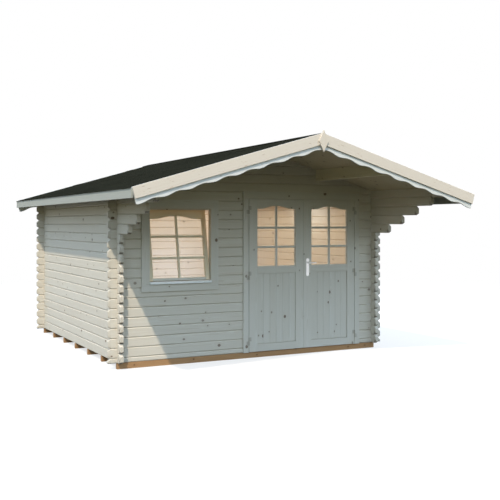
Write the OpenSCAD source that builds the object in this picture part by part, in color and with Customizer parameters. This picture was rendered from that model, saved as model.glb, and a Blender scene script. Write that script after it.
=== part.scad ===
// Log cabin with a front canopy carried on stepped side logs, a glazed double door and one window.
// Origin: underside of the middle floor joist at the centre of the cabin. +X is right seen from the front,
// the front is at -Y, +Z is up from the ground.

/* [Walls] */
// Width over the outer faces of the side walls
cabin_w = 3588; // [3300:1:4200]
// Depth over the outer faces of the front and back walls
cabin_d = 3640; // [3200:1:4200]
// Thickness of a wall log
log_t = 44; // [38:1:52]
// Height of one course of logs
log_pitch = 114; // [112:1:118]
// Length of a log end past the crossing wall
log_end = 108; // [60:1:160]
// Height of the bevels above and below a free log end
bevel_h = 19; // [8:1:22]
// Length of the bevels on a free log end
bevel_l = 22; // [10:1:30]
// Chamfer on the long edges of a log
log_chamfer = 7; // [4:1:9]
// Width of the tongue on top of a log
tongue_w = 12; // [8:1:14]
// Height of the tongue on top of a log
tongue_h = 8; // [5:1:10]
// Courses of the side walls above the joint over the door and window, the bevelled top course included
top_courses = 1; // [1:1:3]
// Top courses that step forward to carry the canopy
corbel_courses = 5; // [3:1:6]
// Reach of the lowest stepped log in front of the front wall
corbel_first = 395; // [250:1:500]
// Length of front wall left of the window, in proportion to the other two lengths
pier_left = 314.7; // [250:0.1:450]
// Length of front wall between the window and the door, in proportion to the other two lengths
pier_middle = 442.9; // [350:0.1:550]
// Length of front wall right of the door, in proportion to the other two lengths
pier_right = 238.2; // [180:0.1:350]

/* [Floor] */
// Number of floor joists
joists = 7; // [5:2:9]
// Width of a joist
joist_w = 45; // [38:1:60]
// Height of a joist
joist_h = 70; // [45:1:95]
// Thickness of the floor boards
floor_t = 18; // [16:1:28]
// Gap between the floor boards and the walls
floor_gap = 8; // [4:1:12]

/* [Roof] */
// Slope of the roof in degrees
roof_slope = 16.3; // [14:0.1:20]
// Overhang of the roof past the side walls
eave_out = 356; // [250:1:450]
// Reach of the canopy in front of the front wall
canopy_out = 1584; // [1200:1:1800]
// Overhang of the roof behind the back wall
rear_out = 275; // [200:1:400]
// Thickness of the roof boards
deck_t = 18; // [16:1:24]
// Thickness of the roofing felt
felt_t = 5; // [3:1:8]
// Reach of the roofing past the eave boards
felt_drip = 10; // [4:1:20]
// Half width of the ridge strip, along the slope
ridge_strip_w = 120; // [80:1:180]
// Width of a purlin
purlin_w = 44; // [38:1:60]
// Height of a purlin
purlin_h = 130; // [95:1:150]
// Distance of the side purlins from the ridge
purlin_x = 900; // [700:1:1100]

/* [Roof edges] */
// Thickness of a bargeboard, an eave board or a finial
edge_t = 18; // [16:1:24]
// Height of the eave boards
eave_h = 100; // [80:1:130]
// Width of the straight bargeboard
barge_w = 118; // [90:1:140]
// Width of the wavy bargeboard at its mean line
wave_w = 169; // [150:1:190]
// Height of the waves from their mean line
wave_rise = 9.5; // [5:0.5:14]
// Length of one wave
wave_len = 274.5; // [200:0.5:350]
// Distance of the first wave crest from the ridge, along the slope
wave_start = 280; // [150:1:350]
// Width of the diamond finial
finial_w = 120; // [90:1:150]
// Height of the diamond finial
finial_h = 244; // [180:1:300]
// Reach of the finial above the ridge
finial_up = 50; // [20:1:80]

/* [Double door] */
// Width of one leaf
leaf_w = 782; // [700:1:800]
// Height of one leaf
leaf_h = 1905; // [1860:1:1920]
// Thickness of one leaf
leaf_t = 40; // [36:1:44]
// Running gap round a leaf
leaf_gap = 5; // [5:1:8]
// Gap between the two leaves
meet_gap = 7; // [7:1:10]
// Width of the stiles
stile_w = 115; // [90:1:130]
// Height of the bottom rail
bottom_rail = 92; // [80:1:140]
// Height of the middle rail's underside above the leaf's bottom edge
mid_rail_z = 973; // [850:1:1000]
// Height of the middle rail
mid_rail = 89; // [70:1:110]
// Height of the top rail at the sides of the glazing
top_rail = 114; // [80:1:150]
// Rise of the crest in the middle of a glazing
crest = 34; // [20:1:45]
// Thickness of the door boards
door_board_t = 18; // [14:1:22]
// Thickness of the glass
glass_t = 4; // [3:1:6]

/* [Door hardware] */
// Radius of a hinge barrel
barrel_r = 8; // [6:0.5:10]
// Length of one half of a hinge barrel
barrel_h = 50; // [40:1:70]
// Radius of a hinge pin
pin_r = 4; // [3:0.5:5]
// Running clearance round pins and necks
pin_gap = 0.1; // [0.05:0.05:0.3]
// Reach of a hinge plate from the hinge axis
hinge_plate_w = 32; // [24:1:40]
// Thickness of a hinge plate
hinge_plate_t = 2.5; // [2:0.5:4]
// Height of the outer hinges from the leaf's ends
hinge_margin = 135; // [110:1:250]
// Height of the handle spindle above the leaf's bottom edge
spindle_z = 1095; // [1000:1:1150]
// Distance of the spindle from the leaf's edge
spindle_in = 54; // [50:1:75]
// Width of a handle plate
plate_w = 45; // [36:1:50]
// Height of a handle plate
plate_h = 233; // [200:1:250]
// Thickness of a handle plate
plate_t = 7; // [5:1:10]
// Reach of a handle plate above the spindle
plate_up = 59; // [50:1:80]
// Length of the lever from the spindle
lever_l = 115; // [90:1:130]
// Radius of the lever
lever_r = 8; // [7:0.5:10]
// Distance of the lever from the leaf's face
lever_out = 45; // [38:1:60]
// Radius of the lever's neck
neck_r = 9; // [8:0.5:11]
// Radius of the spindle through the leaf
spindle_r = 6; // [4:0.5:7]
// Radius of the leaf's bore for the spindle
spindle_bore = 10; // [9:0.5:12]

/* [Door and window frames] */
// Thickness of the door jambs
jamb_t = 40; // [30:1:50]
// Overlap of the door stop behind a leaf
stop_w = 12; // [8:1:16]
// Height of the threshold
threshold_h = 24; // [20:1:35]
// Thickness of the trim boards
trim_t = 18; // [14:1:22]
// Width of the trim beside the door
door_trim_w = 75; // [60:1:95]
// Cover of the trim over the top of a wall opening
trim_lap = 10; // [5:1:20]

/* [Window] */
// Width of the window opening
win_w = 782; // [600:1:800]
// Height of the window opening
win_h = 864; // [700:1:900]
// Distance of the window opening's top below the top of the door leaves
win_drop = 126; // [90:1:190]
// Thickness of the window frame
win_frame_t = 30; // [22:1:40]
// Width of the window trim
win_trim_w = 100; // [80:1:105]
// Height of the sill strip
sill_h = 28; // [25:1:45]
// Reach of the sill strip in front of the wall
sill_out = 45; // [30:1:60]
// Fall of the sill strip's top
sill_fall = 7.5; // [3:0.5:12]
// Height of the trim below the sill strip
apron_h = 90; // [75:1:110]
// Thickness of the sash
sash_t = 40; // [34:1:44]
// Width of the sash stiles
sash_stile = 46; // [36:1:60]
// Height of the bottom rail of the sash
sash_foot = 30; // [25:1:60]
// Height of the top rail of the sash above the crest of its glazing
sash_head = 65; // [45:1:80]
// Gap between the sash and the frame
sash_gap = 6; // [4:1:10]
// Inward tilt of the opened sash in degrees
sash_tilt = 10; // [0:1:14]

/* [Hidden] */
$fn = 48;
// Play between stacked or seated pieces
seat = 0.3;
// Distance that cutters run past the faces they cut
past = 2;
// Strip planed off the top course at the inner face of the side walls
planed = 4;
// Least height of the topmost gable log
tip_min = 30;
// Distance of a hinge barrel from the face of the leaf
barrel_off = 0.8;
// Facets along one wave and along one crest
wave_steps = 12;
crest_steps = 24;

half_w = cabin_w / 2;
half_d = cabin_d / 2;
side_axis = half_w - log_t / 2;
end_axis = half_d - log_t / 2;
groove_w = tongue_w + 2 * seat;
groove_h = tongue_h + 2 * seat;
notch_h = log_pitch / 4 + seat / 2;
floor_half_w = half_w - log_t - floor_gap;
floor_half_d = half_d - log_t - floor_gap;
floor_top = joist_h + floor_t;

face_y = -half_d - trim_t;
leaf_back = face_y + leaf_t;
leaf_z = joist_h + leaf_gap;
leaf_top = leaf_z + leaf_h;
leaf_reach = leaf_w + meet_gap / 2;
glazing_h = leaf_h - mid_rail_z - mid_rail - top_rail;
stop_y = leaf_back + leaf_gap;
door_clear = leaf_reach + leaf_gap;
door_rough = door_clear + jamb_t + seat;
head_top = leaf_top + leaf_gap + jamb_t;
door_course = ceil((head_top - joist_h) / log_pitch - 0.5);
door_rough_top = joint_z(door_course + 1);

win_top = leaf_top - win_drop;
win_bottom = win_top - win_h;
win_half = win_w / 2;
win_rough = win_half + win_frame_t + seat;
sill_course = floor((win_bottom - win_frame_t - joist_h) / log_pitch + 0.5);
win_course = ceil((win_top + win_frame_t - joist_h) / log_pitch - 0.5);
win_rough_bottom = joint_z(sill_course);
win_rough_top = joint_z(win_course + 1);
sash_w = win_w - 2 * sash_gap;
sash_h = win_h - 2 * sash_gap;
sash_glazing_w = sash_w - 2 * sash_stile;
sash_glazing_h = sash_h - sash_foot - sash_head - crest;

front_free = cabin_w - 2 * log_t - 2 * win_rough - 2 * door_rough;
pier_scale = front_free / (pier_left + pier_middle + pier_right);
win_x = -half_w + log_t + pier_left * pier_scale + win_rough;
door_x = half_w - log_t - pier_right * pier_scale - door_rough;
hinge_x = leaf_reach + leaf_gap / 2;
hinge_y = face_y - barrel_off - barrel_r;
hinge_levels = [hinge_margin, leaf_h / 2, leaf_h - hinge_margin];
spindle_x = door_x + meet_gap / 2 + spindle_in;

side_courses = max(door_course, win_course + 1) + top_courses;
plain_courses = side_courses - corbel_courses;
corbel_last = canopy_out - 2 * edge_t - seat;
corbel_step = (corbel_last - corbel_first) / (corbel_courses - 1);

slope_tan = tan(roof_slope);
slope_cos = cos(roof_slope);
ridge_under = course_z(side_courses) - planed + (half_w - log_t) * slope_tan;
deck_rise = deck_t / slope_cos;
felt_low = deck_rise + seat;
felt_rise = felt_t / slope_cos;
ridge_top = ridge_under + felt_low + felt_rise;
roof_half = half_w + eave_out;
eave_in = roof_half - edge_t;
front_y = -half_d - canopy_out;
rear_y = half_d + rear_out;
deck_front = front_y + 2 * edge_t + seat;
deck_rear = rear_y - 2 * edge_t - seat;
barge_l = roof_half / slope_cos;
gable_last = floor((ridge_under - joist_h - tip_min) / log_pitch + 0.5);

pale_log = [0.86, 0.83, 0.77];
pale_trim = [0.80, 0.80, 0.77];
cream = [0.92, 0.88, 0.80];
pine = [0.85, 0.74, 0.58];
brown = [0.62, 0.47, 0.31];
felt = [0.18, 0.19, 0.17];
steel = [0.75, 0.75, 0.74];
clear_glass = [0.75, 0.82, 0.82, 0.35];

// Height of the underside of side course i, counted from 0
function course_z(i) = joist_h + i * log_pitch;

// Height of the underside of end-wall log j, half a course lower than side course j
function joint_z(j) = course_z(max(j - 0.5, 0));

// Right-hand end of front log j: the door while the log is beside it, or else the far corner
function front_end(j) = j <= door_course ? door_x - door_rough : half_w + log_end;

// Height of the underside of the roof boards at distance x from the ridge
function under_z(x) = ridge_under - abs(x) * slope_tan;

// Section of a log: chamfered edges, a tongue on top and a groove below
function log_outline(h) = [
  [-log_t / 2, log_chamfer],
  [-log_t / 2, h - log_chamfer],
  [-log_t / 2 + log_chamfer, h],
  [-tongue_w / 2, h],
  [-tongue_w / 2, h + tongue_h],
  [tongue_w / 2, h + tongue_h],
  [tongue_w / 2, h],
  [log_t / 2 - log_chamfer, h],
  [log_t / 2, h - log_chamfer],
  [log_t / 2, log_chamfer],
  [log_t / 2 - log_chamfer, 0],
  [groove_w / 2, 0],
  [groove_w / 2, groove_h],
  [-groove_w / 2, groove_h],
  [-groove_w / 2, 0],
  [-log_t / 2 + log_chamfer, 0]
];

// Outline of a glazing: straight sides and bottom, a top that swells to a crest in the middle
function glazing_outline(w, h, rise, inset) = concat(
  [[-w / 2 + inset, inset], [w / 2 - inset, inset]],
  [for (i = [crest_steps : -1 : 0])
    [(w / 2 - inset) * (2 * i / crest_steps - 1),
     h - inset + rise * (1 - cos(360 * i / crest_steps)) / 2]]
);

// Notches above and below the neck of a log where another wall crosses it
module neck_notches(h, cut_below, cut_above) {
  width = log_t + 2 * seat;
  if (cut_below)
    translate([-width / 2, -log_t, -past])
      cube([width, 2 * log_t, notch_h + past]);
  if (cut_above)
    translate([-width / 2, -log_t, h - notch_h])
      cube([width, 2 * log_t, notch_h + tongue_h + past]);
}

// Wedges that bevel the free end of a log at x = 0, above and, if wanted, below; the log lies on the -X side
module end_wedges(h, cut_below) {
  fall = bevel_h * (bevel_l + past) / bevel_l;
  translate([0, log_t, 0])
    rotate([90, 0, 0])
      linear_extrude(2 * log_t) {
        polygon([[-bevel_l, h], [past, h - fall], [past, h + tongue_h + past], [-bevel_l, h + tongue_h + past]]);
        if (cut_below)
          polygon([[-bevel_l, 0], [-bevel_l, -past], [past, -past], [past, fall]]);
      }
}

// Log j of an end wall, from x0 to x1, notched where it passes a side wall, bevelled where it ends past one
module end_log(j, x0, x1, wall_y) {
  z = joint_z(j);
  h = joint_z(j + 1) - seat - z;
  translate([0, wall_y, z])
    difference() {
      translate([x0, 0, 0])
        rotate([90, 0, 90])
          linear_extrude(x1 - x0)
            polygon(log_outline(h));
      for (side = [-1, 1])
        translate([side * side_axis, 0, 0])
          neck_notches(h, j > 0, true);
      if (x0 < -half_w)
        translate([x0, 0, 0])
          rotate([0, 0, 180])
            end_wedges(h, j > 0);
      if (x1 > half_w)
        translate([x1, 0, 0])
          end_wedges(h, j > 0);
    }
}

// Course k of a side wall, from y0 to y1, notched where it passes the front and back walls, its ends bevelled
module side_log(k, y0, y1) {
  z = course_z(k);
  h = log_pitch - seat;
  top_course = k == side_courses - 1;
  translate([0, 0, z])
    difference() {
      translate([0, y1, 0])
        rotate([90, 0, 0])
          linear_extrude(y1 - y0)
            polygon(log_outline(h));
      for (wall = [-1, 1])
        translate([0, wall * end_axis, 0])
          rotate([0, 0, 90])
            neck_notches(h, true, !top_course);
      translate([0, y0, 0])
        rotate([0, 0, -90])
          end_wedges(h, true);
      translate([0, y1, 0])
        rotate([0, 0, 90])
          end_wedges(h, true);
    }
}

// Space below the roof boards, lowered by the play that seats them
module under_roof() {
  reach = roof_half + past;
  translate([0, rear_y, -seat])
    rotate([90, 0, 0])
      linear_extrude(rear_y - front_y)
        polygon([[-reach, 0], [-reach, under_z(reach)], [0, ridge_under], [reach, under_z(reach)], [reach, 0]]);
}

// Purlins in one length from the front to the rear bargeboards, grown on all sides by a margin
module purlin_bars(margin) {
  for (x = [-purlin_x, 0, purlin_x]) {
    low = under_z(abs(x) + purlin_w / 2) - purlin_h;
    translate([x - purlin_w / 2 - margin, deck_front, low - margin])
      cube([purlin_w + 2 * margin, deck_rear - deck_front, purlin_h * 2]);
  }
}

// One side wall: the plain courses
module side_wall_logs(side) {
  for (k = [0 : plain_courses - 1])
    translate([side * side_axis, 0, 0])
      side_log(k, -half_d - log_end, half_d + log_end);
}

// One side wall: the top courses, each reaching further forward, the last one bevelled under the roof
module corbel_logs(side) {
  intersection() {
    for (i = [0 : corbel_courses - 1])
      translate([side * side_axis, 0, 0])
        side_log(plain_courses + i, -half_d - corbel_first - i * corbel_step, half_d + log_end);
    under_roof();
  }
}

// Gable logs between the top side courses, cut to the roof slope and round the purlins
module gable_logs(wall_y) {
  reach = half_w - log_t - seat;
  intersection() {
    difference() {
      for (j = [side_courses : gable_last])
        end_log(j, -reach, reach, wall_y);
      purlin_bars(seat);
    }
    under_roof();
  }
}

// One slope of a roof layer between two heights above the underside of the roof boards
module roof_slope_layer(side, low, high, x_end) {
  x0 = seat / 2;
  mirror([side < 0 ? 1 : 0, 0, 0])
    translate([0, deck_rear, 0])
      rotate([90, 0, 0])
        linear_extrude(deck_rear - deck_front)
          polygon([
            [x0, under_z(x0) + low], [x_end, under_z(x_end) + low],
            [x_end, under_z(x_end) + high], [x0, under_z(x0) + high]
          ]);
}

// Outline of a straight bargeboard along the slope, plumb at the ridge and square at the eave
function barge_outline() = [
  [0, 0], [barge_l, 0], [barge_l, -barge_w], [barge_w * slope_tan, -barge_w]
];

// Lower edge of the wavy bargeboard at distance s from the ridge: a cosine about the mean line
function wave_edge(s) = -wave_w - wave_rise * cos(360 * (s - wave_start) / wave_len);

// Outline of the wavy bargeboard
function wave_outline() =
  let (s0 = (wave_w + wave_rise) * slope_tan)
  let (steps = ceil((barge_l - s0) / wave_len * wave_steps))
  concat([[0, 0], [barge_l, 0]],
    [for (i = [steps : -1 : 0])
      let (s = s0 + (barge_l - s0) * i / steps)
      [s, wave_edge(s)]]);

// A pair of roof edge boards that meet at the ridge, from y0 to y0 plus the board's thickness
module edge_pair(outline, y0) {
  for (side = [0, 1])
    mirror([side, 0, 0])
      translate([seat / 2, y0 + edge_t, ridge_top])
        rotate([90, roof_slope, 0])
          linear_extrude(edge_t)
            polygon(outline);
}

module floor_joists() {
  color(brown)
    for (i = [0 : joists - 1])
      translate([-half_w, -half_d + i * (cabin_d - joist_w) / (joists - 1), 0])
        cube([cabin_w, joist_w, joist_h]);
}

module floor_boards() {
  color(pine)
    translate([-floor_half_w, -floor_half_d, joist_h])
      cube([2 * floor_half_w, 2 * floor_half_d, floor_t]);
}

module left_wall_logs() {
  color(pale_log)
    side_wall_logs(-1);
}

module right_wall_logs() {
  color(pale_log)
    side_wall_logs(1);
}

module left_corbel_logs() {
  color(pale_log)
    corbel_logs(-1);
}

module right_corbel_logs() {
  color(pale_log)
    corbel_logs(1);
}

module back_wall_logs() {
  color(pale_log)
    for (j = [0 : side_courses - 1])
      end_log(j, -half_w - log_end, half_w + log_end, end_axis);
}

module back_gable_logs() {
  color(pale_log)
    gable_logs(end_axis);
}

module front_logs_below_window() {
  color(pale_log)
    for (j = [0 : sill_course - 1])
      end_log(j, -half_w - log_end, door_x - door_rough, -end_axis);
}

module front_logs_left() {
  color(pale_log)
    for (j = [sill_course : win_course])
      end_log(j, -half_w - log_end, win_x - win_rough, -end_axis);
}

module front_logs_between() {
  color(pale_log)
    for (j = [sill_course : win_course])
      end_log(j, win_x + win_rough, front_end(j), -end_axis);
}

module front_log_over_window() {
  color(pale_log)
    for (j = [win_course + 1 : side_courses - 1])
      end_log(j, -half_w - log_end, front_end(j), -end_axis);
}

module front_logs_right() {
  color(pale_log)
    for (j = [0 : door_course])
      end_log(j, door_x + door_rough, half_w + log_end, -end_axis);
}

module front_gable_logs() {
  color(pale_log)
    gable_logs(-end_axis);
}

module purlins() {
  color(pine)
    intersection() {
      purlin_bars(0);
      under_roof();
    }
}

module left_roof_boards() {
  color(pine)
    roof_slope_layer(-1, 0, deck_rise, eave_in - seat);
}

module right_roof_boards() {
  color(pine)
    roof_slope_layer(1, 0, deck_rise, eave_in - seat);
}

module left_roofing() {
  color(felt)
    roof_slope_layer(-1, felt_low, felt_low + felt_rise, roof_half + felt_drip);
}

module right_roofing() {
  color(felt)
    roof_slope_layer(1, felt_low, felt_low + felt_rise, roof_half + felt_drip);
}

// Strip of roofing folded over the ridge
module ridge_strip() {
  top = ridge_top + seat;
  x = ridge_strip_w * slope_cos;
  low = top - x * slope_tan;
  color(felt)
    translate([0, deck_rear, 0])
      rotate([90, 0, 0])
        linear_extrude(deck_rear - deck_front)
          polygon([
            [-x, low], [0, top], [x, low],
            [x, low + felt_rise], [0, top + felt_rise], [-x, low + felt_rise]
          ]);
}

// Boards that close the two eaves, their tops bevelled to the roof slope
module eave_boards() {
  top_in = under_z(eave_in) + deck_rise;
  top_out = under_z(roof_half) + deck_rise;
  color(pale_trim)
    for (side = [0, 1])
      mirror([side, 0, 0])
        translate([0, deck_rear, 0])
          rotate([90, 0, 0])
            linear_extrude(deck_rear - deck_front)
              polygon([
                [eave_in, top_in], [roof_half, top_out],
                [roof_half, top_out - eave_h], [eave_in, top_out - eave_h]
              ]);
}

module front_bargeboards() {
  color(cream)
    edge_pair(barge_outline(), front_y);
}

module front_wave_boards() {
  color(cream)
    edge_pair(wave_outline(), front_y + edge_t);
}

module rear_bargeboards() {
  color(cream)
    edge_pair(barge_outline(), rear_y - edge_t);
}

module rear_wave_boards() {
  color(cream)
    edge_pair(wave_outline(), rear_y - 2 * edge_t);
}

// Diamond boards that cover the joint of the bargeboards
module finials() {
  middle = ridge_top + finial_up - finial_h / 2;
  color(cream)
    for (y = [front_y, rear_y + edge_t])
      translate([0, y, middle])
        rotate([90, 0, 0])
          linear_extrude(edge_t)
            polygon([[-finial_w / 2, 0], [0, finial_h / 2], [finial_w / 2, 0], [0, -finial_h / 2]]);
}

// Jambs and head with a stop behind the leaves, and a threshold between the jambs
module door_frame() {
  inner_y = -half_d + log_t;
  color(pale_trim) {
    for (side = [0, 1])
      translate([door_x, 0, joist_h])
        mirror([side, 0, 0])
          linear_extrude(head_top - joist_h)
            polygon([
              [door_clear, -half_d], [door_clear + jamb_t, -half_d], [door_clear + jamb_t, inner_y],
              [door_clear - stop_w, inner_y], [door_clear - stop_w, stop_y], [door_clear, stop_y]
            ]);
    translate([door_x - door_clear + seat, 0, leaf_top + leaf_gap])
      rotate([90, 0, 90])
        linear_extrude(2 * door_clear - 2 * seat)
          polygon([[-half_d, 0], [stop_y + past, 0], [stop_y + past, jamb_t], [-half_d, jamb_t]]);
    translate([door_x - door_clear + stop_w + seat, stop_y, leaf_top + leaf_gap - stop_w])
      cube([2 * (door_clear - stop_w - seat), inner_y - stop_y, jamb_t + stop_w]);
    translate([door_x - door_clear + stop_w + seat, stop_y, joist_h])
      cube([2 * (door_clear - stop_w - seat), -floor_half_d - seat - stop_y, threshold_h]);
  }
}

// Boards that cover the joint between the wall and the door frame outside
module door_trim() {
  color(pale_trim) {
    for (side = [0, 1])
      translate([door_x, -half_d, joist_h])
        mirror([side, 0, 0])
          translate([door_clear, -trim_t, 0])
            cube([door_trim_w, trim_t, leaf_top + leaf_gap - seat - joist_h]);
    translate([door_x - door_clear - door_trim_w, -half_d - trim_t, leaf_top + leaf_gap])
      cube([2 * (door_clear + door_trim_w), trim_t, door_rough_top + trim_lap - leaf_top - leaf_gap]);
  }
}

// Boards that cover the joints of the door and window frames inside
module inner_trim() {
  inner_y = -half_d + log_t;
  door_low = floor_top + seat;
  color(pine) {
    for (side = [0, 1]) {
      translate([door_x, inner_y, door_low])
        mirror([side, 0, 0])
          translate([door_clear, 0, 0])
            cube([door_trim_w, trim_t, leaf_top + leaf_gap - seat - door_low]);
      translate([win_x, inner_y, win_bottom])
        mirror([side, 0, 0])
          translate([win_half, 0, 0])
            cube([win_trim_w, trim_t, win_h - seat]);
    }
    translate([door_x - door_clear - door_trim_w, inner_y, leaf_top + leaf_gap])
      cube([2 * (door_clear + door_trim_w), trim_t, door_rough_top + trim_lap - leaf_top - leaf_gap]);
    translate([win_x - win_half - win_trim_w, inner_y, win_top])
      cube([2 * (win_half + win_trim_w), trim_t, win_rough_top + trim_lap - win_top]);
    translate([win_x - win_half - win_trim_w, inner_y, win_bottom - seat - apron_h])
      cube([2 * (win_half + win_trim_w), trim_t, apron_h]);
  }
}

// One leaf of the double door, its meeting edge on the -X side
module leaf_at(side) {
  translate([door_x, face_y, leaf_z])
    mirror([side < 0 ? 1 : 0, 0, 0])
      translate([meet_gap / 2, 0, 0])
        children();
}

// Stiles and rails of a leaf, open for the boards below and the glazing above
module leaf_frame(spindle_hole) {
  opening_w = leaf_w - 2 * stile_w;
  difference() {
    cube([leaf_w, leaf_t, leaf_h]);
    translate([stile_w, -past, bottom_rail])
      cube([opening_w, leaf_t + 2 * past, mid_rail_z - bottom_rail]);
    translate([leaf_w / 2, leaf_t + past, mid_rail_z + mid_rail])
      rotate([90, 0, 0])
        linear_extrude(leaf_t + 2 * past)
          polygon(glazing_outline(opening_w, glazing_h, crest, 0));
    if (spindle_hole)
      translate([spindle_in, -past, spindle_z])
        rotate([-90, 0, 0])
          cylinder(r = spindle_bore, h = leaf_t + 2 * past);
  }
}

// Boards that fill the lower part of a leaf
module leaf_boards() {
  translate([stile_w + seat, (leaf_t - door_board_t) / 2, bottom_rail + seat])
    cube([leaf_w - 2 * stile_w - 2 * seat, door_board_t, mid_rail_z - bottom_rail - 2 * seat]);
}

// Glass of a leaf
module leaf_glass() {
  translate([leaf_w / 2, (leaf_t + glass_t) / 2, mid_rail_z + mid_rail])
    rotate([90, 0, 0])
      linear_extrude(glass_t)
        polygon(glazing_outline(leaf_w - 2 * stile_w, glazing_h, crest, seat));
}

// Upper halves of a leaf's hinges: a plate on the leaf and a barrel bored for the pin
module leaf_hinges() {
  for (z = hinge_levels)
    translate([leaf_w + leaf_gap / 2, hinge_y - face_y, z])
      difference() {
        union() {
          cylinder(r = barrel_r, h = barrel_h);
          translate([-hinge_plate_w, -hinge_y + face_y - seat - hinge_plate_t, 0])
            cube([hinge_plate_w, hinge_plate_t, barrel_h]);
        }
        translate([0, 0, -past])
          cylinder(r = pin_r + pin_gap, h = barrel_h - 2 * pin_gap);
      }
}

// Lower halves of the hinges on the door trim, each with the pin that carries the leaf
module door_hinge_posts() {
  color(steel)
    for (side = [0, 1])
      for (z = hinge_levels)
        translate([door_x, hinge_y, leaf_z + z - seat])
          mirror([side, 0, 0])
            translate([hinge_x, 0, 0]) {
              translate([0, 0, -barrel_h])
                cylinder(r = barrel_r, h = barrel_h);
              translate([0, 0, -past])
                cylinder(r = pin_r, h = barrel_h - 2 * past);
              translate([0, -hinge_y + face_y - seat - hinge_plate_t, -barrel_h])
                cube([hinge_plate_w, hinge_plate_t, barrel_h]);
            }
}

module left_door_frame() {
  color(pale_trim)
    leaf_at(-1) leaf_frame(false);
}

module left_door_boards() {
  color(pale_log)
    leaf_at(-1) leaf_boards();
}

module left_door_glass() {
  color(clear_glass)
    leaf_at(-1) leaf_glass();
}

module left_door_hinges() {
  color(steel)
    leaf_at(-1) leaf_hinges();
}

module right_door_frame() {
  color(pale_trim)
    leaf_at(1) leaf_frame(true);
}

module right_door_boards() {
  color(pale_log)
    leaf_at(1) leaf_boards();
}

module right_door_glass() {
  color(clear_glass)
    leaf_at(1) leaf_glass();
}

module right_door_hinges() {
  color(steel)
    leaf_at(1) leaf_hinges();
}

// Long plates with round ends on both faces of the right leaf, bored for the lever's neck
module handle_plates() {
  plate_low = plate_up - plate_h;
  color(steel)
    for (y = [face_y - seat, leaf_back + seat + plate_t])
      translate([spindle_x, y, leaf_z + spindle_z])
        rotate([90, 0, 0])
          linear_extrude(plate_t)
            difference() {
              union() {
                translate([-plate_w / 2, plate_low + plate_w / 2])
                  square([plate_w, plate_h - plate_w]);
                translate([0, plate_low + plate_w / 2])
                  circle(d = plate_w);
                translate([0, plate_up - plate_w / 2])
                  circle(d = plate_w);
              }
              circle(r = neck_r + pin_gap);
            }
}

// Levers on both faces, joined by their necks and the spindle through the leaf
module lever_handle() {
  color(steel)
    translate([spindle_x, 0, leaf_z + spindle_z]) {
      for (y = [face_y - lever_out, leaf_back + lever_out])
        translate([0, y, 0]) {
          rotate([0, 90, 0])
            cylinder(r = lever_r, h = lever_l - lever_r);
          translate([lever_l - lever_r, 0, 0])
            sphere(r = lever_r);
        }
      translate([0, face_y - lever_out - lever_r, 0])
        rotate([-90, 0, 0])
          cylinder(r = neck_r, h = lever_out + lever_r - seat);
      translate([0, leaf_back + seat, 0])
        rotate([-90, 0, 0])
          cylinder(r = neck_r, h = lever_out + lever_r - seat);
      translate([0, face_y - past, 0])
        rotate([-90, 0, 0])
          cylinder(r = spindle_r, h = leaf_t + 2 * past);
    }
}

// Window frame: jambs, head, and a sill piece grooved over the tongue of the log below
module window_frame() {
  color(pale_trim) {
    for (side = [0, 1])
      translate([win_x, -half_d, win_bottom + seat])
        mirror([side, 0, 0])
          translate([win_half, 0, 0])
            cube([win_frame_t, log_t, win_h - 2 * seat]);
    translate([win_x - win_half - win_frame_t, -half_d, win_top])
      cube([2 * (win_half + win_frame_t), log_t, win_frame_t]);
    difference() {
      translate([win_x - win_half - win_frame_t, -half_d, win_rough_bottom])
        cube([2 * (win_half + win_frame_t), log_t, win_bottom - win_rough_bottom]);
      translate([win_x - win_rough - past, -end_axis - groove_w / 2, win_rough_bottom - past])
        cube([2 * (win_rough + past), groove_w, groove_h + past]);
    }
  }
}

// Boards round the window outside
module window_trim() {
  color(pale_trim) {
    for (side = [0, 1])
      translate([win_x, -half_d - trim_t, win_bottom - sill_h])
        mirror([side, 0, 0])
          translate([win_half, 0, 0])
            cube([win_trim_w, trim_t, sill_h + win_h - seat]);
    translate([win_x - win_half - win_trim_w, -half_d - trim_t, win_top])
      cube([2 * (win_half + win_trim_w), trim_t, win_rough_top + trim_lap - win_top]);
    translate([win_x - win_half - win_trim_w, -half_d - trim_t, win_bottom - sill_h - seat - apron_h])
      cube([2 * (win_half + win_trim_w), trim_t, apron_h]);
  }
}

// Sill strip between the side boards, with a sloped top that sheds water
module window_sill() {
  color(cream)
    translate([win_x - win_half + seat, -half_d, win_bottom - sill_h])
      rotate([90, 0, 90])
        linear_extrude(2 * (win_half - seat))
          polygon([[0, 0], [0, sill_h], [-trim_t, sill_h], [-sill_out, sill_h - sill_fall], [-sill_out, 0]]);
}

// Place of the sash, tipped inwards about its lower inner edge
module sash_at() {
  translate([win_x, -half_d + log_t, win_bottom + seat])
    rotate([-sash_tilt, 0, 0])
      children();
}

module window_sash() {
  color(pale_trim)
    sash_at()
      difference() {
        translate([-sash_w / 2, -sash_t, 0])
          cube([sash_w, sash_t, sash_h]);
        translate([0, past, sash_foot])
          rotate([90, 0, 0])
            linear_extrude(sash_t + 2 * past)
              polygon(glazing_outline(sash_glazing_w, sash_glazing_h, crest, 0));
      }
}

module window_glass() {
  color(clear_glass)
    sash_at()
      translate([0, (glass_t - sash_t) / 2, sash_foot])
        rotate([90, 0, 0])
          linear_extrude(glass_t)
            polygon(glazing_outline(sash_glazing_w, sash_glazing_h, crest, seat));
}

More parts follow.
